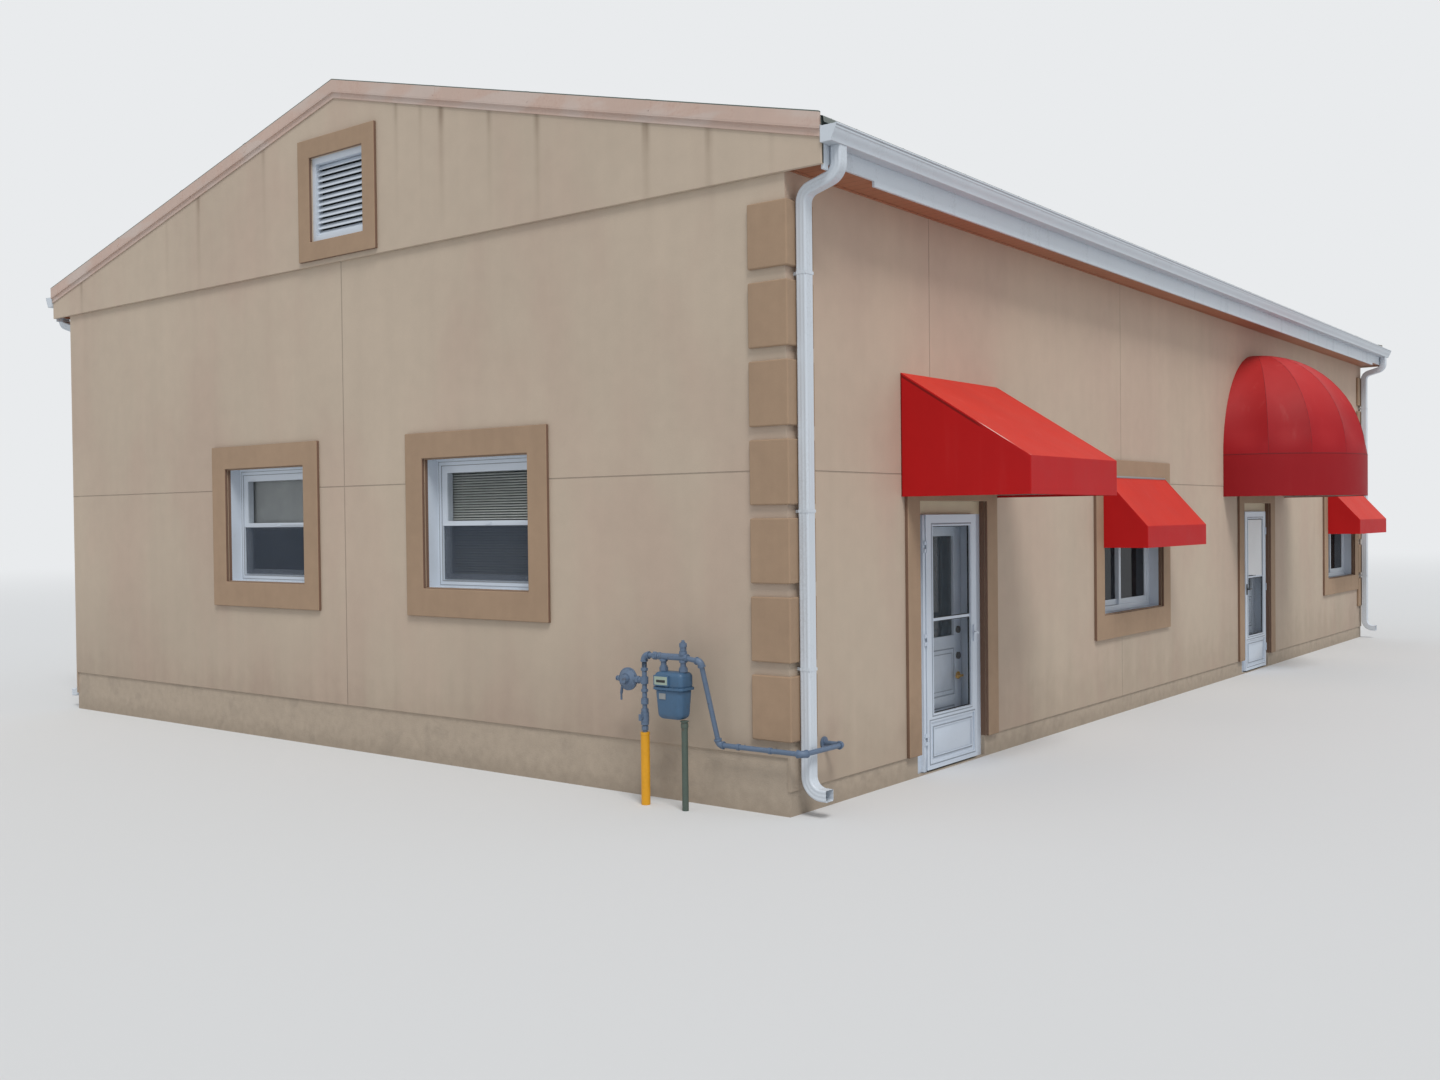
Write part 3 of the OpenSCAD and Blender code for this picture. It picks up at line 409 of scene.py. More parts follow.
def wall_stucco():
    paint = Paint("wall_stucco", roughness=0.88)
    x, y, z = paint.axes()
    side, end = abs(x), abs(y)
    cloud = paint.noise(0.45, 3)
    trowel = paint.noise(7, 4)
    grit = paint.noise(210, 2)
    streak = paint.noise(1.0, 3, (5.5, 5.5, 0.22))
    outside = side.rise(WALL_X - 0.05, WALL_X - 0.02).most(end.rise(GABLE_Y - 0.05, GABLE_Y - 0.02))
    end_face = end.rise(GABLE_Y - 0.004, GABLE_Y - 0.001)
    band_face = end.rise(BAND_Y - 0.008, BAND_Y - 0.003)
    side_face = side.rise(WALL_X - 0.004, WALL_X - 0.001) * (1 - end_face)
    joint = z.near(JOINT_Z, 0.007) * (1 - band_face)
    joint = joint.most(x.near(GABLE_JOINT_X, 0.007) * end_face * (1 - band_face))
    for place in SIDE_JOINTS_Y:
        joint = joint.most(y.near(place, 0.006) * side_face)
    joint = joint * outside
    below_roof = RIDGE_Z - side * FALL - z
    drips = drip_ramp(paint, x, DRIPS_RIGHT, 0.5, 5.0) + drip_ramp(paint, x, DRIPS_LEFT, -5.0, -0.5)
    ragged = paint.noise(1.0, 3, (14, 14, 1.1))
    short = below_roof.rise(0.38, 0.12) * ragged.rise(0.2, 0.7) * 0.46
    tail = below_roof.rise(1.35, 0.12) * (0.5 + ragged * 0.6) * 0.30
    drips = drips * (short + tail) * (band_face * 0.65 + end_face * 0.35)
    damp = (z + (streak - 0.5) * 0.5 + (trowel - 0.5) * 0.25).rise(0.75, 0.18) * outside
    # painted shade: the side wall is a little darker just under the eaves
    eave_shade = below_roof.rise(0.55, 0.15) * (1 - band_face) * side_face
    tone = 0.94 + (cloud - 0.5) * 0.22 + (trowel - 0.5) * 0.10 + (grit - 0.5) * 0.10
    tone = tone + (streak - 0.5) * 0.09 - eave_shade * 0.02 - joint * 0.30
    # painted shade: the walls darken towards the ground, twice as much on the gables
    low_wall_shade = z.rise(1.9, 0.4) * (trowel * 0.3 + 0.85) * outside
    tone = tone - low_wall_shade * (0.05 + end_face * 0.05)
    walls = props("walls")
    warm = paint.mix((side_face * (z * 0.3 - 0.45)).least(0.7).most(0.0), walls.stucco, STUCCO_WARM)
    patch = paint.noise(0.9, 3, (1.5, 1.5, 0.6)).rise(0.40, 0.68)
    warm = paint.mix(patch * 0.42, warm, STUCCO_PATCH)
    inner = paint.mix(outside, PLASTER, warm)
    # painted shade: the returns of the openings in the side wall take the trim's brown, darkened
    turned = paint.facing()
    shaded_reveal = abs(turned[1]).most(abs(turned[2])).rise(0.5, 0.9) * x.rise(WALL_X - 0.12, WALL_X - 0.11)
    inner = paint.mix(shaded_reveal * end.rise(GABLE_Y - 0.5, GABLE_Y - 0.6), inner, SHADED_REVEAL)
    dirt = (damp * 0.16 + drips).least(0.7)
    paint.painted(inner, tone, dirt, WALL_DIRT)
    paint.feed("Roughness", 0.84 + grit * 0.12)
    grain(paint, trowel, grit - joint * 6.0)
    return paint.material


def trim_stucco(name, across=None):
    """The darker coat of the trim; the edges of a surround, which turn off the given axis, are darkened as
    painted shade.
    """
    paint = Paint(name, roughness=0.88)
    z = paint.axes()[2]
    trowel = paint.noise(11, 4)
    grit = paint.noise(230, 2)
    cloud = paint.noise(1.3, 3)
    streak = paint.noise(1.0, 2, (9, 9, 0.5))
    tone = 0.95 + (cloud - 0.5) * 0.22 + (trowel - 0.5) * 0.14 + (grit - 0.5) * 0.12
    tone = tone + (streak - 0.5) * 0.12
    dirt = (z + (trowel - 0.5) * 0.4).rise(0.75, 0.1) * 0.18
    base = props("walls").trim
    if across is not None:
        # painted shade on the faces that turn off the axis
        base = paint.mix(abs(paint.facing()[across]).rise(0.6, 0.3), base, SHADED_REVEAL)
    paint.painted(base, tone, dirt, TRIM_DIRT)
    grain(paint, trowel, grit)
    return paint.material


def painted_block():
    paint = Paint("painted_block", roughness=0.85)
    z = paint.axes()[2]
    lump = paint.noise(14, 4)
    pore = paint.noise(120, 3)
    flake = paint.noise(3.2, 4).rise(0.56, 0.64)
    splash = (z + (lump - 0.5) * 0.12).rise(0.20, 0.0)
    tone = 0.92 + (lump - 0.5) * 0.22 + (pore - 0.5) * 0.16
    base = paint.mix(flake * 0.25, props("walls").block, BLOCK_FLAKE)
    paint.painted(base, tone, splash * 0.24, BLOCK_SPLASH)
    paint.bump(lump * 0.8 + pore * 0.6 - flake * 0.3, 0.9, 0.003)
    return paint.material


def trowelled_slab():
    paint = Paint("trowelled_slab", roughness=0.6)
    sweep = paint.noise(1.4, 4)
    speck = paint.noise(90, 3)
    tone = 0.92 + (sweep - 0.5) * 0.25 + (speck - 0.5) * 0.14
    paint.painted(props("walls").slab, tone)
    paint.feed("Roughness", 0.5 + sweep * 0.25)
    paint.bump(sweep + speck * 0.4, 0.5, 0.001)
    return paint.material


def white_sheet():
    """Baked paint on sheet metal: slight waves, chalk and run-down dirt."""
    paint = Paint("white_sheet", roughness=0.36)
    cloud, run, speck = paint.weather()
    grime = (run * 0.6 + speck * 0.4).rise(0.50, 0.72)
    tone = 0.96 + (cloud - 0.5) * 0.12 + (run - 0.5) * 0.10
    paint.painted(props("roof").white, tone, grime * 0.16, METAL_DIRT)
    paint.feed("Roughness", 0.36 + (cloud - 0.5) * 0.2 + grime * 0.25)
    dents(paint, cloud, speck)
    return paint.material


def rib_places(pitch):
    """How many bays lie between the ribs along the roof, and where the first rib stands."""
    count = int(2 * (BAND_Y - 0.1) / pitch)
    return count, -count * pitch / 2


def roof_sheet():
    """Ribbed sheets, three bays wide: each has its own tone, and dirt runs down the slope."""
    roof = props("roof")
    paint = Paint("roof_sheet", roughness=0.45)
    x, y, _ = paint.axes()
    cloud = paint.noise(0.5, 3)
    run = paint.noise(1.0, 3, (0.3, 8, 0.3))
    speck = paint.noise(60, 3)
    own = paint.lot((y - rib_places(roof.rib_pitch)[1]) / (3 * roof.rib_pitch))
    tone = 0.95 + (own - 0.5) * 0.07 + (cloud - 0.5) * 0.14 + (run - 0.5) * 0.16
    grime = (run * 0.65 + speck * 0.35).rise(0.50, 0.72)
    low = abs(x).rise(EAVE_X - 1.2, EAVE_X) * 0.5
    paint.painted(roof.sheet, tone, grime * (0.26 + low * 0.3), METAL_DIRT)
    paint.feed("Roughness", 0.42 + (cloud - 0.5) * 0.2 + grime * 0.25)
    dents(paint, cloud, speck)
    return paint.material


def rake_trim_metal():
    """The tan trim, with the dark edge of the roof sheet along its top."""
    roof = props("roof")
    paint = Paint("rake_metal", roughness=0.5)
    x, _, z = paint.axes()
    cloud, run, speck = paint.weather()
    chalk = paint.noise(1.0, 3, (1.3, 1.3, 5.0)).rise(0.48, 0.60)
    above = z - (RIDGE_Z - abs(x) * FALL)
    top = above.rise(0.0165, 0.0185)
    hem = above.near(-0.078, 0.006)
    tone = 0.96 + (cloud - 0.5) * 0.14 + (run - 0.5) * 0.16 - hem * 0.08
    base = paint.mix((run * 0.6 + speck * 0.4).rise(0.48, 0.7) * 0.35, roof.rake, RAKE_RUN)
    base = paint.mix(chalk * 0.45, base, RAKE_CHALK)
    paint.painted(paint.mix(top, base, roof.edge), tone)
    paint.feed("Roughness", 0.48 + (cloud - 0.5) * 0.2)
    dents(paint, cloud, speck)
    return paint.material


def gutter_sheet():
    """White sheet metal with a painted shadow line under the bead, and an underside darkened by painted shade
    and grime.
    """
    paint = Paint("gutter_sheet", roughness=0.36)
    x, _, z = paint.axes()
    cloud, run, speck = paint.weather()
    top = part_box("gutters")[1].z
    out = abs(x).rise(EAVE_X + 0.118, EAVE_X + 0.121)
    # painted shadow: a dark line under the rolled bead
    line = z.near(top - 0.0165, 0.0045) * out
    # painted shade and grime: faces turned down are darker
    under = paint.facing()[2].rise(-0.35, -0.8)
    tone = 0.97 + (cloud - 0.5) * 0.10 + (run - 0.5) * 0.06 - line * 0.42 - under * 0.10
    grime = (run * 0.6 + speck * 0.4).rise(0.52, 0.74) * 0.14 + under * 0.10
    paint.painted(props("roof").white, tone, grime, GUTTER_GRIME)
    paint.feed("Roughness", 0.36 + (cloud - 0.5) * 0.2 + grime * 0.4)
    dents(paint, cloud, speck)
    return paint.material


def soffit_panel():
    paint = Paint("soffit_panel", roughness=0.6)
    y = paint.axes()[1]
    groove = (y % SOFFIT_BOARD - SOFFIT_BOARD / 2).near(0.0, 0.004)
    cloud = paint.noise(1.2, 3)
    dust = paint.noise(30, 3)
    tone = 0.92 + (cloud - 0.5) * 0.25 + (dust - 0.5) * 0.12 - groove * 0.35
    paint.painted(props("roof").soffit, tone)
    paint.bump(dust * 0.15 - groove, 0.8, 0.003)
    return paint.material


def vinyl(name, base, rough):
    paint = Paint(name, roughness=rough, coat_weight=0.15, coat_roughness=0.3)
    cloud = paint.noise(3.5, 3)
    dust = paint.noise(45, 3)
    settled = paint.facing()[2].rise(0.5, 0.95) * dust.rise(0.3, 0.65)
    tone = 0.95 + (cloud - 0.5) * 0.10
    dirt = (settled * 0.35 + dust.rise(0.62, 0.8) * 0.12).least(0.5)
    paint.painted(base, tone, dirt, VINYL_DUST)
    paint.feed("Roughness", rough + (dust - 0.5) * 0.16)
    paint.bump(dust * 0.3 + cloud * 0.5, 0.25, 0.0006)
    return paint.material


def pane_glass(name, tint, alpha, side_alpha=None):
    """Glass over what is behind it; panes in the side wall are darker and nearly opaque, as painted shade of
    the dark room behind them.
    """
    paint = Paint(name, roughness=0.03, ior=1.5, specular_ior_level=0.12 if side_alpha else 0.5)
    if side_alpha:
        # painted shade: side panes are dark and nearly opaque
        on_side = abs(paint.axes()[0]).rise(WALL_X - 0.25, WALL_X - 0.24)
        alpha = alpha + on_side * (side_alpha - alpha)
        tint = paint.mix(on_side, tint, SHADED_GLASS)
    wave = paint.noise(2.3, 2)
    film = paint.noise(6, 4)
    paint.painted(tint, 0.85 + film * 0.3)
    paint.feed("Roughness", 0.02 + film.rise(0.45, 0.8) * 0.06)
    paint.feed("Alpha", alpha + (film - 0.5) * 0.12)
    paint.bump(wave, 0.25, 0.004)
    return paint.material


def slope_line(x):
    """Height of the door awning's slope, where its end panels are sewn on."""
    awning = DOOR_AWNING
    fall = (awning["top"] - awning["front"]) / awning["out"]
    return awning["front"] + (WALL_X + awning["out"] - x) * fall


def canvas(name, base, faded_and_sunlit, seam_z=None, gores=0, seam_highlight_y=None):
    """Coated awning cloth with its weave on the piece's own map, in metres."""
    paint = Paint(name, roughness=0.62, specular_ior_level=0.28)
    paint.source = "UV"
    u, v, _ = paint.axes()
    weave = (u * THREADS).sine() * (v * THREADS).sine() * 0.5 + 0.5
    paint.source = "Object"
    x, y, z = paint.axes()
    cloud = paint.noise(1.1, 3)
    ripple = paint.noise(4.5, 3)
    run = paint.noise(1.0, 3, (9, 9, 0.9))
    up = paint.facing()[2]
    # painted sunlight and sun bleaching: faces turned up take the faded colour
    bleached = up.rise(0.10, 0.75) * (0.6 + cloud * 0.5)
    tone = 0.95 + (cloud - 0.5) * 0.12 + (run - 0.5) * 0.08 + (weave - 0.5) * 0.10
    if seam_z:
        tone = tone - z.near(seam_z, 0.009) * 0.34 - z.rise(seam_z, seam_z - 0.004) * 0.08
        own = paint.lot((x - WALL_X).turn(DOOR_Y[1] - y) * (gores / pi))
        tone = tone + (own - 0.5) * 0.13 * z.rise(seam_z, seam_z + 0.004)
    dust = run.rise(0.60, 0.85) * up.rise(-0.3, 0.6) * 0.06
    if seam_highlight_y:
        # painted highlight: a pale streak along the lower part of the slope's near edge, where the cloth
        # pulls away
        outer = x.rise(WALL_X + 0.60, WALL_X + 0.70)
        worn = y.near(seam_highlight_y, 0.013) * up.rise(0.2, 0.4) * outer
        dust = dust + worn * ripple.rise(0.25, 0.55) * 0.85
        # painted shade: a dark line on the end panels just under the slope's fold on their upper part, and
        # along the wall
        flank = abs(paint.facing()[1]).rise(0.6, 0.8)
        under = (slope_line(x) - z).near(0.020, 0.014) * (1 - outer)
        tone = tone - flank * under.most(x.near(WALL_X + 0.003, 0.011)) * 0.55
        tone = tone + (ripple - 0.5) * 0.08
    paint.painted(paint.mix(bleached.least(0.95), base, faded_and_sunlit), tone, dust, CANVAS_DUST_AND_HIGHLIGHT)
    paint.feed("Roughness", 0.55 + ripple * 0.15)
    paint.bump(weave * 0.12 + ripple, 0.4, 0.003)
    return paint.material


def plain(name, base, rough=0.5, metal=0.0, speckle=0.16, grit=55.0, depth=0.0008, wear=0.0, worn=None):
    """Paint, plastic or bare metal on a small piece, with its own mottling and wear."""
    paint = Paint(name, roughness=rough, metallic=metal)
    cloud = paint.noise(5, 3)
    fine = paint.noise(grit, 3)
    tone = 0.95 + (cloud - 0.5) * speckle + (fine - 0.5) * speckle
    mixed = paint.shade(base, tone)
    if wear:
        chipped = (fine * 0.5 + cloud * 0.5).rise(0.56, 0.66)
        mixed = paint.mix(chipped * wear, mixed, worn)
    paint.feed("Base Color", mixed)
    paint.feed("Roughness", rough + (fine - 0.5) * 0.2)
    paint.bump(fine + cloud, 0.4, depth)
    return paint.material


def insect_screen():
    paint = Paint("insect_screen", roughness=0.7)
    x, y, z = paint.axes()
    thread = ((x + y) * SCREEN_WIRES).sine().most((z * SCREEN_WIRES).sine()).rise(0.1, 0.8)
    paint.painted(srgb(58, 68, 82), 0.8 + thread * 0.4)
    paint.feed("Alpha", 0.34 + thread * 0.22)
    return paint.material


def paper():
    paint = Paint("plain_paper", roughness=0.8)
    cloud = paint.noise(2.5, 3)
    fibre = paint.noise(80, 3)
    paint.painted(srgb(238, 240, 242), 0.97 + (cloud - 0.5) * 0.14 + (fibre - 0.5) * 0.06)
    paint.bump(cloud, 0.5, 0.006)
    return paint.material


PLAIN_FINISHES = {
    "cord": ("dome_cord", srgb(118, 12, 22), 0.7, 0, 0.1),
    "shade": ("roller_shade", srgb(168, 172, 172), 0.8, 0, 0.1),
    "panel": ("head_panel", srgb(212, 196, 168), 0.6, 0, 0.12),
    "joint": ("frame_joint", srgb(132, 136, 142), 0.7),
    # groove: painted shade, thin darker strips beside the door mouldings and panels
    "groove": ("panel_groove", srgb(150, 159, 171), 0.6),
    "black": ("black_paint", srgb(34, 34, 36), 0.4),
    "rubber": ("rubber", srgb(30, 31, 32), 0.75),
    "brass": ("brass", srgb(228, 176, 76), 0.34, 0.6, 0.2),
    "bronze": ("dark_bronze", srgb(92, 84, 76), 0.4, 0.7, 0.2),
    "steel": ("zinc_steel", srgb(158, 160, 160), 0.38, 0.9, 0.2),
    "alloy": ("mill_alloy", srgb(172, 173, 172), 0.4, 0.9, 0.15),
    "dial": ("index_face", srgb(158, 174, 160), 0.35, 0, 0.2),
}

PAINTS = {}


def paint_of(name):
    """Each finish is made once, when a piece first asks for it."""
    if name in PLAIN_FINISHES and name not in PAINTS:
        PAINTS[name] = plain(*PLAIN_FINISHES[name])
    if name not in PAINTS:
        gaps, cloth, gas = props("openings"), props("awnings"), props("gas")
        makers = {
            "stucco": wall_stucco,
            "trim": lambda: trim_stucco("quoin_stucco"),
            "gable_trim": lambda: trim_stucco("gable_trim_stucco", 1),
            "side_trim": lambda: trim_stucco("side_trim_stucco", 0),
            "block": painted_block,
            "slab": trowelled_slab,
            "roof": roof_sheet,
            "rake": rake_trim_metal,
            "white": white_sheet,
            "gutter": gutter_sheet,
            "soffit": soffit_panel,
            "vinyl": lambda: vinyl("white_vinyl", gaps.vinyl, 0.38),
            "door": lambda: vinyl("door_paint", gaps.door, 0.34),
            "glass": lambda: pane_glass("window_pane", gaps.glass, 0.10, 0.86),
            "inner_glass": lambda: pane_glass("inner_door_pane", gaps.glass, 0.80),
            "door_glass": lambda: pane_glass("door_pane", gaps.glass, 0.09),
            "canvas": lambda: canvas("awning_canvas", cloth.canvas, cloth.faded_and_sunlit, seam_highlight_y=DOOR_Y[0] - 0.774),
            "dome": lambda: canvas("dome_canvas", DOME_CANVAS, DOME_FADED_AND_SUNLIT, DOME_SEAM, cloth.gores),
            "blind": lambda: plain("blind_slats", gaps.blind, 0.5, 0, 0.08),
            "screen": insect_screen,
            "paper": paper,
            "pipe": lambda: plain("pipe_paint", gas.pipe, 0.5, 0, 0.3, 40, 0.0012, 0.5, RUST),
            "meter": lambda: plain("meter_paint", gas.meter, 0.45, 0, 0.25, 30, 0.001, 0.25, METER_WEAR),
            "sleeve": lambda: plain("sleeve_plastic", gas.sleeve, 0.5, 0, 0.2, 40),
            "post": lambda: plain("post_paint", gas.post, 0.6, 0, 0.3, 30, 0.001, 0.5, POST_RUST),
        }
        PAINTS[name] = makers[name]()
    return PAINTS[name]


def finish_piece(bm, name, paint, body="building", stands_for=None, edge=0.0, segments=2, crease=38):
    """Makes an object of a finished bmesh, gives it its paint and hangs it on its body."""
    mesh = bpy.data.meshes.new(name)
    bm.edges.index_update()
    rims = [e.index for e in bm.edges if len(e.link_faces) == 1]
    bm.to_mesh(mesh)
    bm.free()
    made = bpy.data.objects.new(name, mesh)
    bpy.context.scene.collection.objects.link(made)
    for each in [paint] if isinstance(paint, str) else paint:
        mesh.materials.append(paint_of(each))
    mesh.shade_smooth()
    mesh.set_sharp_from_angle(angle=radians(crease))
    for rim in rims:
        mesh.edges[rim].use_edge_sharp = True
    if edge:
        soft = made.modifiers.new("soft_edges", "BEVEL")
        soft.width = edge
        soft.segments = segments
        soft.limit_method = "ANGLE"
        soft.angle_limit = radians(32)
        soft.harden_normals = True
    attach(made, body)
    if stands_for:
        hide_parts(stands_for)
    return made


def thin_wall(made, thickness, offset=0):
    """Gives a sheet its thickness: half on each side, or all of it inwards with an offset of -1."""
    wall = made.modifiers.new("sheet", "SOLIDIFY")
    wall.thickness = thickness
    wall.offset = offset


def dress(node, paint):
    """Gives a CAD node its paint."""
    slots = frame["nodes"][node].data.materials
    slots.clear()
    slots.append(paint_of(paint))


def cad_copy(node):
    """A CAD node's mesh, merged and without its flat cuts."""
    bm = bmesh.new()
    bm.from_mesh(frame["nodes"][node].data)
    bmesh.ops.remove_doubles(bm, verts=bm.verts, dist=0.00002)
    bmesh.ops.dissolve_limit(bm, angle_limit=radians(0.6), verts=bm.verts, edges=bm.edges)
    return bm


def soften(node, paint, edge, segments=2, pick=None, cut=None):
    """A copy of a CAD node with soft edges, which stands for the node."""
    bm = cad_copy(node)
    if cut:
        slice_mesh(bm, "z", [cut])
    if pick:
        for face in bm.faces:
            face.material_index = pick(face.calc_center_median().z)
    body = frame["nodes"][node]["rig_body"]
    return finish_piece(bm, node + "_finish", paint, body, node, edge, segments)


def verts_in(geom):
    return [g for g in geom if isinstance(g, bmesh.types.BMVert)]


def all_geom(bm):
    return bm.verts[:] + bm.edges[:] + bm.faces[:]


def slice_mesh(bm, axis, places):
    """Cuts a mesh across at each place, so that it can bend or change its paint there."""
    way = Vector([float(a == axis) for a in "xyz"])
    for place in places:
        bmesh.ops.bisect_plane(bm, geom=all_geom(bm), plane_co=way * place, plane_no=way, dist=0.0001)


def round_off(bm, geom, offset, segments, affect="EDGES"):
    bmesh.ops.bevel(
        bm, geom=geom, offset=offset, segments=segments, profile=0.5, affect=affect, material=-1,
        clamp_overlap=True,
    )


def block(bm, low, high):
    low, high = Vector(low), Vector(high)
    size = Matrix.Diagonal((*(high - low), 1))
    return bmesh.ops.create_cube(bm, size=1, matrix=Matrix.Translation((low + high) / 2) @ size)["verts"]


def aim(a, b):
    """A matrix at the middle of a and b whose Z runs from a to b."""
    a, b = Vector(a), Vector(b)
    turn = (b - a).to_track_quat("Z", "Y").to_matrix().to_4x4()
    return Matrix.Translation((a + b) / 2) @ turn


def rod(bm, a, b, radius, segments=20, radius_b=None):
    """A round bar, or with few segments a hexagonal nut or a square tube."""
    far = radius if radius_b is None else radius_b
    size = (Vector(b) - Vector(a)).length
    return bmesh.ops.create_cone(
        bm, cap_ends=True, segments=segments, radius1=radius, radius2=far, depth=size, matrix=aim(a, b)
    )["verts"]


def ring_of(bm, verts):
    """The edges that join the given vertices."""
    inside = set(verts)
    return [e for e in bm.edges if e.verts[0] in inside and e.verts[1] in inside]


def whole(bm, verts):
    """The given vertices with the edges and faces between them."""
    inside = set(verts)
    return list(verts) + ring_of(bm, verts) + [f for f in bm.faces if f.verts[0] in inside]


def strip(bm, places, way):
    """A sheet drawn out from the open line through the places."""
    verts = [bm.verts.new(place) for place in places]
    edges = [bm.edges.new(pair) for pair in zip(verts, verts[1:])]
    made = bmesh.ops.extrude_edge_only(bm, edges=edges)["geom"]
    bmesh.ops.translate(bm, verts=verts_in(made), vec=way)


def prism(bm, places, way):
    """A solid drawn out from the face between the places."""
    face = bm.faces.new([bm.verts.new(place) for place in places])
    made = bmesh.ops.extrude_face_region(bm, geom=[face])["geom"]
    bmesh.ops.translate(bm, verts=verts_in(made), vec=way)


def chain(bm, places, radius, segments):
    """A bent rod through the places."""
    for a, b in zip(places, places[1:]):
        rod(bm, a, b, radius, segments)


def upright(bm, x, y, lengths):
    """Rods in one upright line, each from a height to a height, with its radius and segments."""
    for z0, z1, radius, segments in lengths:
        rod(bm, (x, y, z0), (x, y, z1), radius, segments)


def four_bars(low, high, t):
    """The corners of the four bars of width t just inside a rectangle."""
    (a0, b0), (a1, b1) = low, high
    return (((a0, b0), (a1, b0 + t)), ((a0, b1 - t), (a1, b1)),
            ((a0, b0 + t), (a0 + t, b1 - t)), ((a1 - t, b0 + t), (a1, b1 - t)))


def sweep(bm, ring, moves):
    """Carries a ring of edges through straight moves and turns, and leaves a tube behind it.

    A straight move is a vector; a turn is (centre, axis, angle, steps)."""
    for move in moves:
        if len(move) == 3:
            verts = verts_in(bmesh.ops.extrude_edge_only(bm, edges=ring)["geom"])
            bmesh.ops.translate(bm, verts=verts, vec=move)
        else:
            centre, axis, angle, steps = move
            made = bmesh.ops.spin(bm, geom=ring, cent=centre, axis=axis, angle=angle, steps=steps)
            verts = verts_in(made["geom_last"])
        ring = ring_of(bm, verts)


def mirror_copy(bm, *axes):
    """Adds the mirror image of the whole mesh across the building's middle, for each axis in turn."""
    for axis in axes:
        made = bmesh.ops.duplicate(bm, geom=all_geom(bm))["geom"]
        scale = [-1 if a == axis else 1 for a in "xyz"]
        bmesh.ops.scale(bm, verts=verts_in(made), vec=scale)
        bmesh.ops.reverse_faces(bm, faces=[g for g in made if isinstance(g, bmesh.types.BMFace)])


def repeat(bm, geom, offsets):
    """Copies of some geometry at each offset."""
    for offset in offsets:
        made = bmesh.ops.duplicate(bm, geom=geom)["geom"]
        bmesh.ops.translate(bm, verts=verts_in(made), vec=offset)


class ShopOperator:
    """What the shop's operators share."""

    bl_options = {"REGISTER", "UNDO"}


class SHOP_OT_walls(ShopOperator, bpy.types.Operator):
    """Paint the walls, foundation and floor, and soften the bands, quoins and surrounds"""

    bl_idname = "shop.walls"
    bl_label = "Walls and Trim"

    def execute(self, context):
        for node in ("front_gable_wall", "rear_gable_wall", "entrance_wall_near",
                     "entrance_wall_middle", "entrance_wall_far", "door_lintels", "back_wall"):
            dress(node, "stucco")
        dress("foundation", "block")
        dress("floor_slab", "slab")
        edge = props("walls").soft_edge
        soften("gable_bands", "stucco", edge * 0.7)
        soften("corner_quoins", "trim", edge * 1.5, 3)
        soften("gable_surrounds", "gable_trim", edge)
        for node in ("side_window_surrounds", "door_surrounds"):
            soften(node, "side_trim", edge)
        return {"FINISHED"}


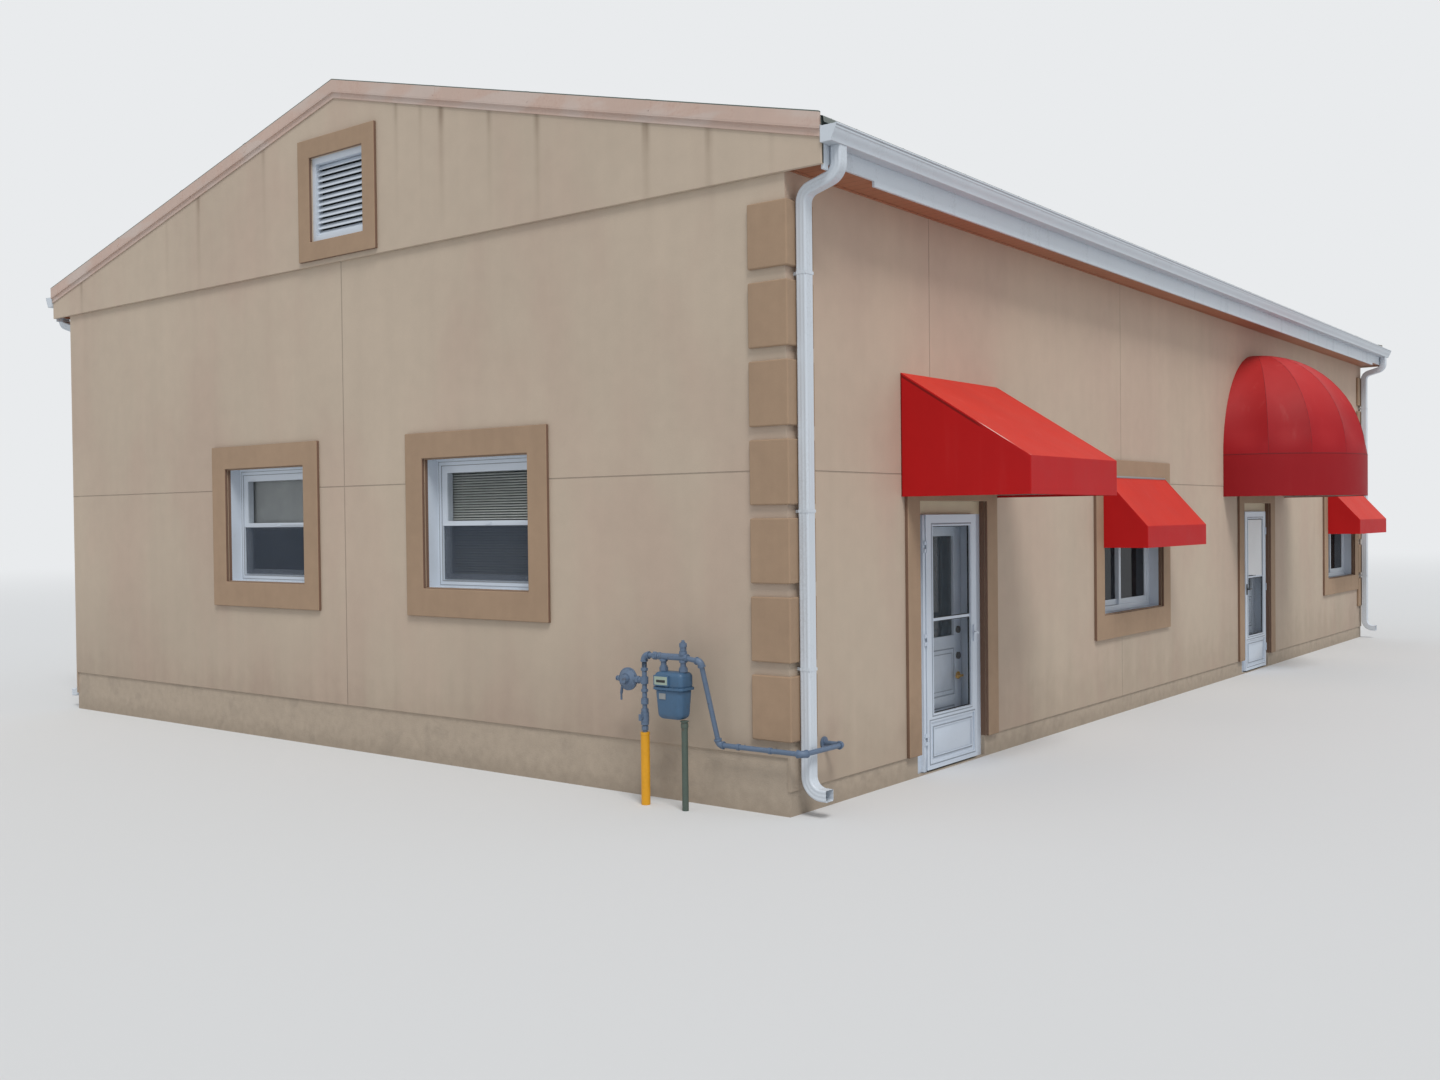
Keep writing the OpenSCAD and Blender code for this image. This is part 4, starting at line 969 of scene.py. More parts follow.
class SHOP_OT_roof(ShopOperator, bpy.types.Operator):
    """Lay the ribbed sheet with its screws, and finish the ridge, rakes, fascias and soffits"""

    bl_idname = "shop.roof"
    bl_label = "Roof"

    rib_foot = 0.032
    rib_top = 0.014
    bead = 0.0035
    screw_rows = (0.28, 0.88, 1.48, 2.08, 2.68, 3.28, 3.88, 4.48, 4.98)
    cap_half = 0.17

    def ribs(self, bm, height, pitch):
        """Ribs of one slope: each runs from under the ridge cap to the drip edge."""
        count, first = rib_places(pitch)
        start, full, end = self.cap_half - 0.02, EAVE_X - 0.13, EAVE_X - 0.012
        for foot, top, rise, shift, number in (
            (self.rib_foot, self.rib_top, height, 0.0, count + 1),
            (0.020, 0.010, self.bead, pitch / 3, count),
            (0.020, 0.010, self.bead, 2 * pitch / 3, count),
        ):
            verts = []
            for x0, x1 in ((start, full), (full, end)):
                verts += block(bm, (x0, -foot, -0.003), (x1, foot, rise))
            for v in verts:
                if v.co.z > rise / 2:
                    v.co.y *= top / foot
                    if v.co.x > end - 0.001:
                        v.co.z = 0.0004
                v.co.z += RIDGE_Z - v.co.x * FALL
            bmesh.ops.translate(bm, verts=verts, vec=(0, first + shift, 0))
            repeat(bm, whole(bm, verts), [(0, pitch * i, 0) for i in range(1, number)])

    def screws(self, bm, pitch):
        """Rows of screws beside the ribs: a washer and a hexagonal head each."""
        count, first = rib_places(pitch)
        normal = Vector((sin(SLOPE), 0, cos(SLOPE)))
        for x in self.screw_rows:
            foot = Vector((x, first + 0.028, RIDGE_Z - x * FALL))
            verts = rod(bm, foot - normal * 0.002, foot + normal * 0.0025, 0.009, 10)
            verts += rod(bm, foot + normal * 0.002, foot + normal * 0.0075, 0.0055, 6)
            repeat(bm, whole(bm, verts), [(0, pitch * i, 0) for i in range(1, count)])

    def execute(self, context):
        roof = props("roof")
        for node in ("roof_entrance_slope", "roof_back_slope"):
            dress(node, "roof")
        self.drip_edges()
        dress("soffits", "soffit")
        bm = bmesh.new()
        self.ribs(bm, roof.rib_height, roof.rib_pitch)
        mirror_copy(bm, "x")
        finish_piece(bm, "roof_ribs", "roof")
        bm = bmesh.new()
        self.screws(bm, roof.rib_pitch)
        mirror_copy(bm, "x")
        finish_piece(bm, "roof_screws", "steel")
        soften("ridge_cap", "roof", 0.008)
        soften("rake_trims", "rake", 0.003)
        soften("fascias", "white", 0.002)
        self.rake_laps()
        self.soffit_trims()
        return {"FINISHED"}

    def drip_edges(self):
        """The sheet's lower edge: it runs on past the fascia and folds down into the gutter."""
        bm = bmesh.new()
        line = [(EAVE_X - 0.004, 0.0008), (EAVE_X + 0.013, 0.0008), (EAVE_X + 0.017, -0.003),
                (EAVE_X + 0.024, -0.040), (EAVE_X + 0.030, -0.044)]
        places = [(x, -BAND_Y, RIDGE_Z - min(x, EAVE_X + 0.013) * FALL + dz) for x, dz in line]
        strip(bm, places, (0, 2 * BAND_Y, 0))
        mirror_copy(bm, "x")
        made = finish_piece(bm, "drip_sheets", "roof", stands_for="drip_edges", crease=50)
        thin_wall(made, 0.0012)

    def rake_laps(self):
        """Short plates where two lengths of rake trim lap, with a screw at each."""
        bm = bmesh.new()
        front = -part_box("rake_trims")[0].y
        low, high = 0.089, 0.026
        for x in RAKE_LAPS:
            middle = RIDGE_Z - x * FALL
            verts = block(bm, (x - 0.022, -front - 0.0016, middle - low),
                          (x + 0.022, -front + 0.002, middle + high))
            for v in verts:
                v.co.z -= (v.co.x - x) * FALL
            rod(bm, (x, -front - 0.005, middle - 0.05), (x, -front, middle - 0.05), 0.006, 6)
        mirror_copy(bm, "x", "y")
        finish_piece(bm, "rake_laps", "rake", edge=0.0006)

    def soffit_trims(self):
        """Channels that hold the soffit panels along the wall and the fascia."""
        bm = bmesh.new()
        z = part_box("soffits")[0].z
        for x0, x1 in ((WALL_X + 0.001, WALL_X + 0.022), (EAVE_X - 0.045, EAVE_X - 0.022)):
            block(bm, (x0, -GABLE_Y + 0.004, z - 0.008), (x1, GABLE_Y - 0.004, z - 0.0005))
        mirror_copy(bm, "x")
        finish_piece(bm, "soffit_channels", "soffit", edge=0.0015)
        bm = bmesh.new()
        end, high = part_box("gable_bands")[1].x, RIDGE_Z - EAVE_X * FALL - 0.05
        block(bm, (end - 0.003, -GABLE_Y - 0.016, BAND_Z + 0.006), (end + 0.0008, -GABLE_Y - 0.002, high))
        mirror_copy(bm, "x", "y")
        finish_piece(bm, "band_end_joints", "rubber")


class SHOP_OT_gutters(ShopOperator, bpy.types.Operator):
    """Fold the gutters with their rolled lips, end caps, seams and hangers"""

    bl_idname = "shop.gutters"
    bl_label = "Gutters"

    seam_pitch = 3.05
    hanger_pitch = 0.61

    def profile(self):
        """The gutter's outer line from the back, under the floor and up the front, as x and z."""
        low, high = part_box("gutters")
        x0, z0, z1 = EAVE_X + 0.0015, low.z + 0.001, high.z
        out = high.x - 0.001
        lip = z1 - props("roof").gutter_lip
        floor = x0 + 0.086
        face = out - 0.006
        points = [
            (x0, z1 + 0.004), (x0, z0 + 0.004), (x0 + 0.004, z0), (floor - 0.004, z0), (floor, z0 + 0.003),
        ]
        foot = points[-1]
        reach, climb = face - 0.006 - foot[0], lip - 0.004 - foot[1]
        for i in range(1, 9):
            t = i / 8
            bow = 0.5 - 0.5 * cos(pi * t)
            points.append((foot[0] + reach * (0.3 * t + 0.7 * bow), foot[1] + climb * t))
        points += [(face - 0.001, lip), (face, lip + 0.002), (face, z1 - 0.013)]
        for i in range(9):
            a = pi * (-0.5 + i / 6.4)
            points.append((out - 0.0065 + 0.0065 * cos(a), z1 - 0.0065 + 0.0065 * sin(a)))
        return points

    def trough(self, bm, points, y0, y1, inwards=0.0):
        """A length of the gutter's sheet; a lap's strip lies a little inwards of it."""
        middle = Vector((EAVE_X + 0.05, 0, points[1][1] + 0.06))
        places = []
        for x, z in points:
            away = (Vector((x, 0, z)) - middle).normalized() * inwards
            places.append((x - away.x, y0, z - away.z))
        strip(bm, places, (0, y1 - y0, 0))

    def execute(self, context):
        points = self.profile()
        end = -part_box("gutters")[0].y - 0.001
        bm = bmesh.new()
        self.trough(bm, points, -end, end)
        for y in self.spread(2 * end, self.seam_pitch):
            self.trough(bm, points[1:-9], y - 0.035, y + 0.035, 0.0008)
        mirror_copy(bm, "x")
        made = finish_piece(bm, "gutter_troughs", "gutter", stands_for="gutters", crease=34)
        thin_wall(made, 0.0016)
        bm = bmesh.new()
        outline = points[1:-4] + [(points[0][0], points[-5][1])]
        for side in SIDES:
            prism(bm, [(x, side * end, z) for x, z in outline], (0, -side * 0.003, 0))
        bmesh.ops.recalc_face_normals(bm, faces=bm.faces)
        mirror_copy(bm, "x")
        finish_piece(bm, "gutter_end_caps", "white", edge=0.0008)
        self.hangers(points)
        return {"FINISHED"}

    def spread(self, reach, pitch):
        """Evenly spaced places about the middle of the gutter."""
        count = int(reach / pitch)
        return [(i - count / 2) * pitch for i in range(count + 1)]

    def hangers(self, points):
        """Straps across the gutter's mouth, each with a foot on the fascia."""
        bm = bmesh.new()
        x0, x1, z = points[0][0], points[-10][0], points[-10][1] - 0.002
        for y in self.spread(2 * (GABLE_Y - 0.2), self.hanger_pitch):
            block(bm, (x0, y - 0.012, z - 0.002), (x1 - 0.003, y + 0.012, z))
            block(bm, (x0, y - 0.012, z - 0.03), (x0 + 0.002, y + 0.012, z))
        mirror_copy(bm, "x")
        finish_piece(bm, "gutter_hangers", "alloy", edge=0.0005)


class SHOP_OT_downspouts(ShopOperator, bpy.types.Operator):
    """Sweep the ribbed downspouts from the gutter's outlet to the open mouth"""

    bl_idname = "shop.downspouts"
    bl_label = "Downspouts"

    inset = 0.108
    across = 0.092
    deep = 0.080
    gap = 0.036
    bend = 0.057
    turn = radians(74)
    drop = 0.100
    foot = 0.270
    foot_bend = 0.075
    mouth = 0.042
    corner = 0.011
    rib = 0.0022
    strap_z = (0.9725, 2.0105, 3.5675)

    def ring(self, bm, x, y, z):
        """The section of a spout, lying flat: a rectangle with round corners and shallow ribs."""
        half = Vector((self.deep / 2, self.across / 2))
        size = Matrix.Diagonal((half.x, half.y, 1, 1))
        made = bmesh.ops.create_grid(
            bm, x_segments=1, y_segments=1, size=1, matrix=Matrix.Translation((x, y, z)) @ size
        )["verts"]
        round_off(bm, list(made), self.corner, 4, "VERTICES")
        face = max(bm.faces, key=lambda f: (f.normal.z != 0, -abs(f.calc_center_median().z - z)))
        long_edges = [e for e in face.edges if e.calc_length() > 0.03]
        bmesh.ops.delete(bm, geom=[face], context="FACES_ONLY")
        before = set(bm.verts)
        bmesh.ops.subdivide_edges(bm, edges=long_edges, cuts=9)
        for v in (v for v in bm.verts if v not in before):
            dx, dy = (v.co.x - x) / half.x, (v.co.y - y) / half.y
            along = dx if abs(dy) > abs(dx) else dy
            push = self.rib * (0.5 - 0.5 * cos(3 * pi * along))
            if abs(dy) > abs(dx):
                v.co.y -= push * (1 if dy > 0 else -1)
            else:
                v.co.x -= push * (1 if dx > 0 else -1)
        return [e for e in bm.edges if not e.link_faces and abs(e.verts[0].co.z - z) < 0.0001]

    def path(self, y):
        """The moves of one spout from its outlet, and its bends' centres."""
        outlet = EAVE_X + 0.004
        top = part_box("gutters")[0].z
        x0 = WALL_X + self.gap
        reach = 2 * self.bend + self.deep
        link = (outlet - x0 - reach * (1 - cos(self.turn))) / sin(self.turn)
        upper = Vector((outlet - self.bend, y, top - self.drop))
        lower_z = upper.z - reach * sin(self.turn) - link * cos(self.turn)
        lower = Vector((x0 + self.deep + self.bend, y, lower_z))
        foot = Vector((x0 + self.deep + self.foot_bend, y, self.foot))
        slant = Vector((-sin(self.turn), 0, -cos(self.turn))) * link
        moves = [
            (0, 0, -self.drop + 0.001),
            (upper, (0, 1, 0), self.turn, 10),
            tuple(slant),
            (lower, (0, 1, 0), -self.turn, 10),
            (0, 0, self.foot - lower_z),
            (foot, (0, 1, 0), -pi / 2, 12),
            (self.mouth, 0, 0),
        ]
        return outlet + self.deep / 2, top, moves, x0

    def execute(self, context):
        bm = bmesh.new()
        y = -GABLE_Y + self.inset
        x, top, moves, x0 = self.path(y)
        sweep(bm, self.ring(bm, x, y, top - 0.001), moves)
        mirror_copy(bm, "y", "x")
        made = finish_piece(bm, "downspout_pipes", "white", stands_for="downspouts", crease=50)
        thin_wall(made, 0.0014, -1)
        self.straps(y, x0)
        return {"FINISHED"}

    def straps(self, y, x0):
        """Bands that hold the spouts to the wall."""
        bm = bmesh.new()
        half, x1 = self.across / 2, x0 + self.deep
        for z in self.strap_z:
            for low, high in (
                ((x1 - 0.001, y - half - 0.0012), (x1 + 0.0012, y + half + 0.0012)),
                ((x0 + 0.004, y - half - 0.0012), (x1, y - half + 0.0005)),
                ((x0 + 0.004, y + half - 0.0005), (x1, y + half + 0.0012)),
                ((WALL_X + 0.001, y - 0.02), (x0 + 0.006, y + 0.02)),
            ):
                block(bm, (*low, z - 0.010), (*high, z + 0.010))
        mirror_copy(bm, "y", "x")
        finish_piece(bm, "downspout_straps", "white", edge=0.0008)


class SHOP_OT_windows(ShopOperator, bpy.types.Operator):
    """Finish the window frames and panes, and hang the blinds and insect screens"""

    bl_idname = "shop.windows"
    bl_label = "Windows"

    wide, tall = 1.216, 1.056
    sill = 1.426
    liner = 0.060
    rail = 0.040
    painted_return = 0.028
    blind_back = GABLE_Y - 0.222
    slat_line = ((-0.0115, -0.0052), (-0.004, 0.0012), (0.004, 0.0022), (0.0115, -0.0008))

    def slats(self, bm, x, y, side, pitch):
        """A blind behind a gable window: head rail, curved slats, bottom rail and ladder cords."""
        half = self.wide / 2 - self.liner - 0.012
        low, high = self.sill + self.liner, self.sill + self.tall - self.liner
        block(bm, (x - half, y - 0.014, high - 0.028), (x + half, y + 0.014, high))
        block(bm, (x - half, y - 0.010, low + 0.002), (x + half, y + 0.010, low + 0.014))
        for i in range(int((high - low - 0.05) / pitch)):
            z = low + 0.024 + i * pitch
            places = [(x - half, y + side * dy, z + dz + 0.35 * dy) for dy, dz in self.slat_line]
            strip(bm, places, (2 * half, 0, 0))
        for dx in (-half * 0.72, 0, half * 0.72):
            rod(bm, (x + dx, y - 0.012, low), (x + dx, y - 0.012, high), 0.0009, 5)

    def execute(self, context):
        pitch = props("openings").slat_pitch
        self.frames("gable_window_frames", "y", GABLE_Y, "gable_trim")
        self.frames("side_window_frames", "x", WALL_X, "side_trim")
        dress("window_glass", "glass")
        self.joints()
        bm = bmesh.new()
        self.slats(bm, GABLE_WINDOW_X[1], -self.blind_back, 1, pitch)
        for x in GABLE_WINDOW_X:
            self.slats(bm, x, self.blind_back, -1, pitch)
        finish_piece(bm, "window_blinds", "blind")
        self.shade(GABLE_WINDOW_X[0], -self.blind_back)
        self.screens()
        self.latches()
        return {"FINISHED"}

    def frames(self, node, axis, face, coat):
        """A window frame whose outer return is painted as the stucco round it, darkened as painted shade."""
        bm = cad_copy(node)
        line = face - self.painted_return
        slice_mesh(bm, axis, [side * line for side in SIDES])
        index = "xyz".index(axis)
        for each in bm.faces:
            each.material_index = int(abs(each.calc_center_median()[index]) > line)
        finish_piece(bm, node + "_finish", ["vinyl", coat], stands_for=node, edge=0.0018)

    def joints(self):
        """Thin dark joints between liner and frame, and between frame and sash."""
        bm = bmesh.new()
        y = GABLE_Y - 0.1292
        for x in GABLE_WINDOW_X:
            for inset, t in ((0.0, 0.005), (0.024, 0.0035), (self.liner - 0.005, 0.005)):
                half = self.wide / 2 - inset
                corners = (x - half, self.sill + inset), (x + half, self.sill + self.tall - inset)
                for low, high in four_bars(*corners, t):
                    block(bm, (low[0], -y - 0.0010, low[1]), (high[0], -y + 0.0012, high[1]))
        mirror_copy(bm, "y")
        finish_piece(bm, "window_joints", "joint")

    def shade(self, x, y):
        """A plain shade pulled half down, with a hem bar and a pull."""
        half = self.wide / 2 - self.liner - 0.014
        high = self.sill + self.tall - self.liner
        low = self.sill + self.tall / 2 - 0.03
        bm = bmesh.new()
        made = bmesh.ops.create_grid(bm, x_segments=16, y_segments=12, size=0.5)["verts"]
        for v in made:
            u, t = v.co.x + 0.5, v.co.y + 0.5
            wave = 0.0022 * sin(u * 7 + t * 2) * (1 - t)
            v.co = Vector((x - half + 2 * half * u, y + wave, low + (high - 0.02 - low) * t))
        rod(bm, (x - half, y + 0.012, high - 0.018), (x + half, y + 0.012, high - 0.018), 0.016, 20)
        block(bm, (x - half, y - 0.004, low - 0.012), (x + half, y + 0.004, low + 0.006))
        rod(bm, (x, y, low - 0.05), (x, y, low - 0.012), 0.0015, 6)
        place = Matrix.Translation((x, y, low - 0.055))
        bmesh.ops.create_uvsphere(bm, u_segments=10, v_segments=5, radius=0.007, matrix=place)
        bmesh.ops.recalc_face_normals(bm, faces=bm.faces)
        finish_piece(bm, "window_shade", "shade")

    def screens(self):
        """Insect screens over the lower sashes of the gable windows."""
        bm = bmesh.new()
        inner = self.liner + 0.010
        half, y = self.wide / 2 - inner, GABLE_Y - 0.142
        z0, z1 = self.sill + inner, self.sill + (self.tall - self.rail) / 2
        for x in GABLE_WINDOW_X:
            for side in SIDES:
                block(bm, (x - half, side * y - 0.0004, z0), (x + half, side * y + 0.0004, z1))
        finish_piece(bm, "insect_screens", "screen")

    def latches(self):
        """Sash locks on the meeting rails and pulls on the sliding sashes."""
        bm = bmesh.new()
        z = self.sill + self.tall / 2
        for x in GABLE_WINDOW_X:
            for side in SIDES:
                y = side * (GABLE_Y - 0.136)
                block(bm, (x - 0.028, y - 0.005, z - 0.008), (x + 0.028, y + 0.005, z + 0.006))
        for y in SIDE_WINDOW_Y:
            block(bm, (WALL_X - 0.142, y - 0.020, 1.60), (WALL_X - 0.134, y - 0.008, 1.70))
        finish_piece(bm, "window_latches", "vinyl", edge=0.0015)


class SHOP_OT_vents(ShopOperator, bpy.types.Operator):
    """Finish the louvred vents and their insect mesh"""

    bl_idname = "shop.vents"
    bl_label = "Gable Vents"

    def execute(self, context):
        soften("gable_vents", "vinyl", 0.0016)
        bm = bmesh.new()
        low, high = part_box("gable_vents")
        back = BAND_Y - 0.085
        for side in SIDES:
            block(bm, (low.x + 0.03, side * back - 0.001, low.z + 0.04),
                  (high.x - 0.03, side * back + 0.001, high.z - 0.04))
        finish_piece(bm, "vent_mesh", "rubber")
        return {"FINISHED"}


class SHOP_OT_doors(ShopOperator, bpy.types.Operator):
    """Finish the doors and frames, with mouldings, sweeps, gaskets and the paper in one pane"""

    bl_idname = "shop.doors"
    bl_label = "Doors"

    storm_half = 0.410
    glass_half = 0.306
    storm_face = WALL_X - 0.005
    glass_low = 0.452
    glass_high = 1.892
    bar_z = 1.172
    bar_half = 0.011
    head_z = 1.982
    sill_z = 0.0201
    inner_recess = 4.5440

    def execute(self, context):
        soften("door_frames", ["door", "alloy", "panel"], 0.002, cut=self.head_z,
               pick=lambda z: 1 if z < self.sill_z else 2 if z > self.head_z else 0)
        for number, handle in ((1, "door"), (2, "black")):
            soften(f"storm_door_{number}", "door", 0.0025)
            soften(f"inner_door_{number}", "door", 0.0030)
            soften(f"storm_handle_{number}", handle, 0.002)
            soften(f"inner_handle_{number}", ["brass", "bronze"], 0.0022, pick=lambda z: int(z > 0.76))
            dress(f"storm_glass_{number}", "door_glass")
            dress(f"inner_glass_{number}", "inner_glass")
            leaf, y = f"storm_door_{number}_leaf", DOOR_Y[number - 1]
            self.gaskets(number, leaf, y)
            self.beads(number, leaf, y)
            self.sweeps(number, leaf, y)
        self.paper_sheet()
        return {"FINISHED"}

    def gaskets(self, number, leaf, y):
        """Dark strips round the panes of a storm door."""
        bm = bmesh.new()
        panes = ((self.glass_low, self.bar_z - self.bar_half), (self.bar_z + self.bar_half, self.glass_high))
        for x in (self.storm_face - 0.0135, self.storm_face - 0.0215):
            for z0, z1 in panes:
                for low, high in four_bars((y - self.glass_half, z0), (y + self.glass_half, z1), 0.006):
                    block(bm, (x - 0.002, *low), (x + 0.002, *high))
        finish_piece(bm, f"storm_gaskets_{number}", "rubber", leaf)

    def beads(self, number, leaf, y):
        """Raised mouldings round the panes and panels, with thin darker strips beside them painted as their
        shade.
        """
        face = self.storm_face - 0.0005
        rings = (
            (self.glass_half + 0.014, self.glass_low - 0.014, self.glass_high + 0.014, 0.012),
            (0.366, 0.070, 0.400, 0.012),
            (0.312, 0.123, 0.347, 0.009),
        )
        bm = bmesh.new()
        for ring in rings:
            self.rim(bm, face, y, *ring)
        self.thicken(bm, 0.0047)
        finish_piece(bm, f"storm_beads_{number}", "door", leaf, edge=0.0018, segments=3)
        # painted shade: darker strips just outside the mouldings
        bm = bmesh.new()
        for reach, low, high, _ in rings:
            self.rim(bm, face, y, reach + 0.010, low - 0.010, high + 0.010, 0.010)
        self.thicken(bm, 0.0009)
        finish_piece(bm, f"storm_moulding_shades_{number}", "groove", leaf)
        # painted shade: darker strips round the panels of the inner door
        bm = bmesh.new()
        for low, high in ((0.2005, 0.4495), (0.5305, 0.9095)):
            self.rim(bm, self.inner_recess, y - 0.0015, 0.272, low, high, 0.012)
            self.rim(bm, self.inner_recess + 0.004, y - 0.0015, 0.232, low + 0.040, high - 0.040, 0.006)
        self.thicken(bm, 0.0005)
        finish_piece(bm, f"inner_moulding_shades_{number}", "groove", leaf.replace("storm", "inner"))

    def rim(self, bm, x, y, reach, low, high, wide):
        """A flat ring on the door's face."""
        made = bmesh.ops.create_grid(bm, x_segments=1, y_segments=1, size=0.5)["verts"]
        for v in made:
            v.co = Vector((x, y + 2 * reach * v.co.x, (low + high) / 2 + (high - low) * v.co.y))
        middle = [f for f in bm.faces if f.verts[0] in made]
        bm.normal_update()
        bmesh.ops.inset_region(bm, faces=middle, thickness=wide, use_boundary=True, use_even_offset=True)
        bmesh.ops.delete(bm, geom=middle, context="FACES")

    def thicken(self, bm, height):
        """Raises flat rings off the face that they lie on."""
        bmesh.ops.recalc_face_normals(bm, faces=bm.faces)
        made = bmesh.ops.extrude_face_region(bm, geom=bm.faces[:])["geom"]
        bmesh.ops.translate(bm, verts=verts_in(made), vec=(height, 0, 0))
        bmesh.ops.recalc_face_normals(bm, faces=bm.faces)

    def sweeps(self, number, leaf, y):
        """The rubber strip under a storm door."""
        bm = bmesh.new()
        x, half = self.storm_face - 0.012, self.storm_half - 0.006
        block(bm, (x - 0.004, y - half, 0.0225), (x + 0.004, y + half, 0.031))
        finish_piece(bm, f"storm_sweep_{number}", "rubber", leaf, edge=0.001)

    def paper_sheet(self):
        """A bare sheet of paper behind the upper pane of the far storm door."""
        x, y = self.storm_face - 0.0105, DOOR_Y[1]
        half, low, high = self.glass_half - 0.010, 1.186, self.glass_high - 0.012
        bm = bmesh.new()
        for v in bmesh.ops.create_grid(bm, x_segments=14, y_segments=16, size=0.5)["verts"]:
            u, t = v.co.x + 0.5, v.co.y + 0.5
            curl = 0.0014 * sin(u * 9 + t * 4) * (1 - t)
            edge = 0.010 * sin(u * 5.2 + 0.6) * (1 - t) ** 3
            v.co = Vector((x + curl, y - half + 2 * half * u, low + edge + (high - low) * t))
        bmesh.ops.recalc_face_normals(bm, faces=bm.faces)
        thin_wall(finish_piece(bm, "door_paper", "paper", "storm_door_2_leaf"), 0.0004)


def map_cloth(bm):
    """Lays a map in metres over each face of a cloth, level with the ground."""
    layer = bm.loops.layers.uv.verify()
    bm.normal_update()
    for face in bm.faces:
        across = Vector((0, 0, 1)).cross(face.normal)
        across = across.normalized() if across.length > 0.05 else Vector((0, 1, 0))
        up = face.normal.cross(across)
        for loop in face.loops:
            loop[layer].uv = (loop.vert.co.dot(across), loop.vert.co.dot(up))


def arch(value, low, high):
    """0 at both ends of a span and 1 in its middle."""
    t = min(max((value - low) / (high - low), 0), 1)
    return sin(pi * t)


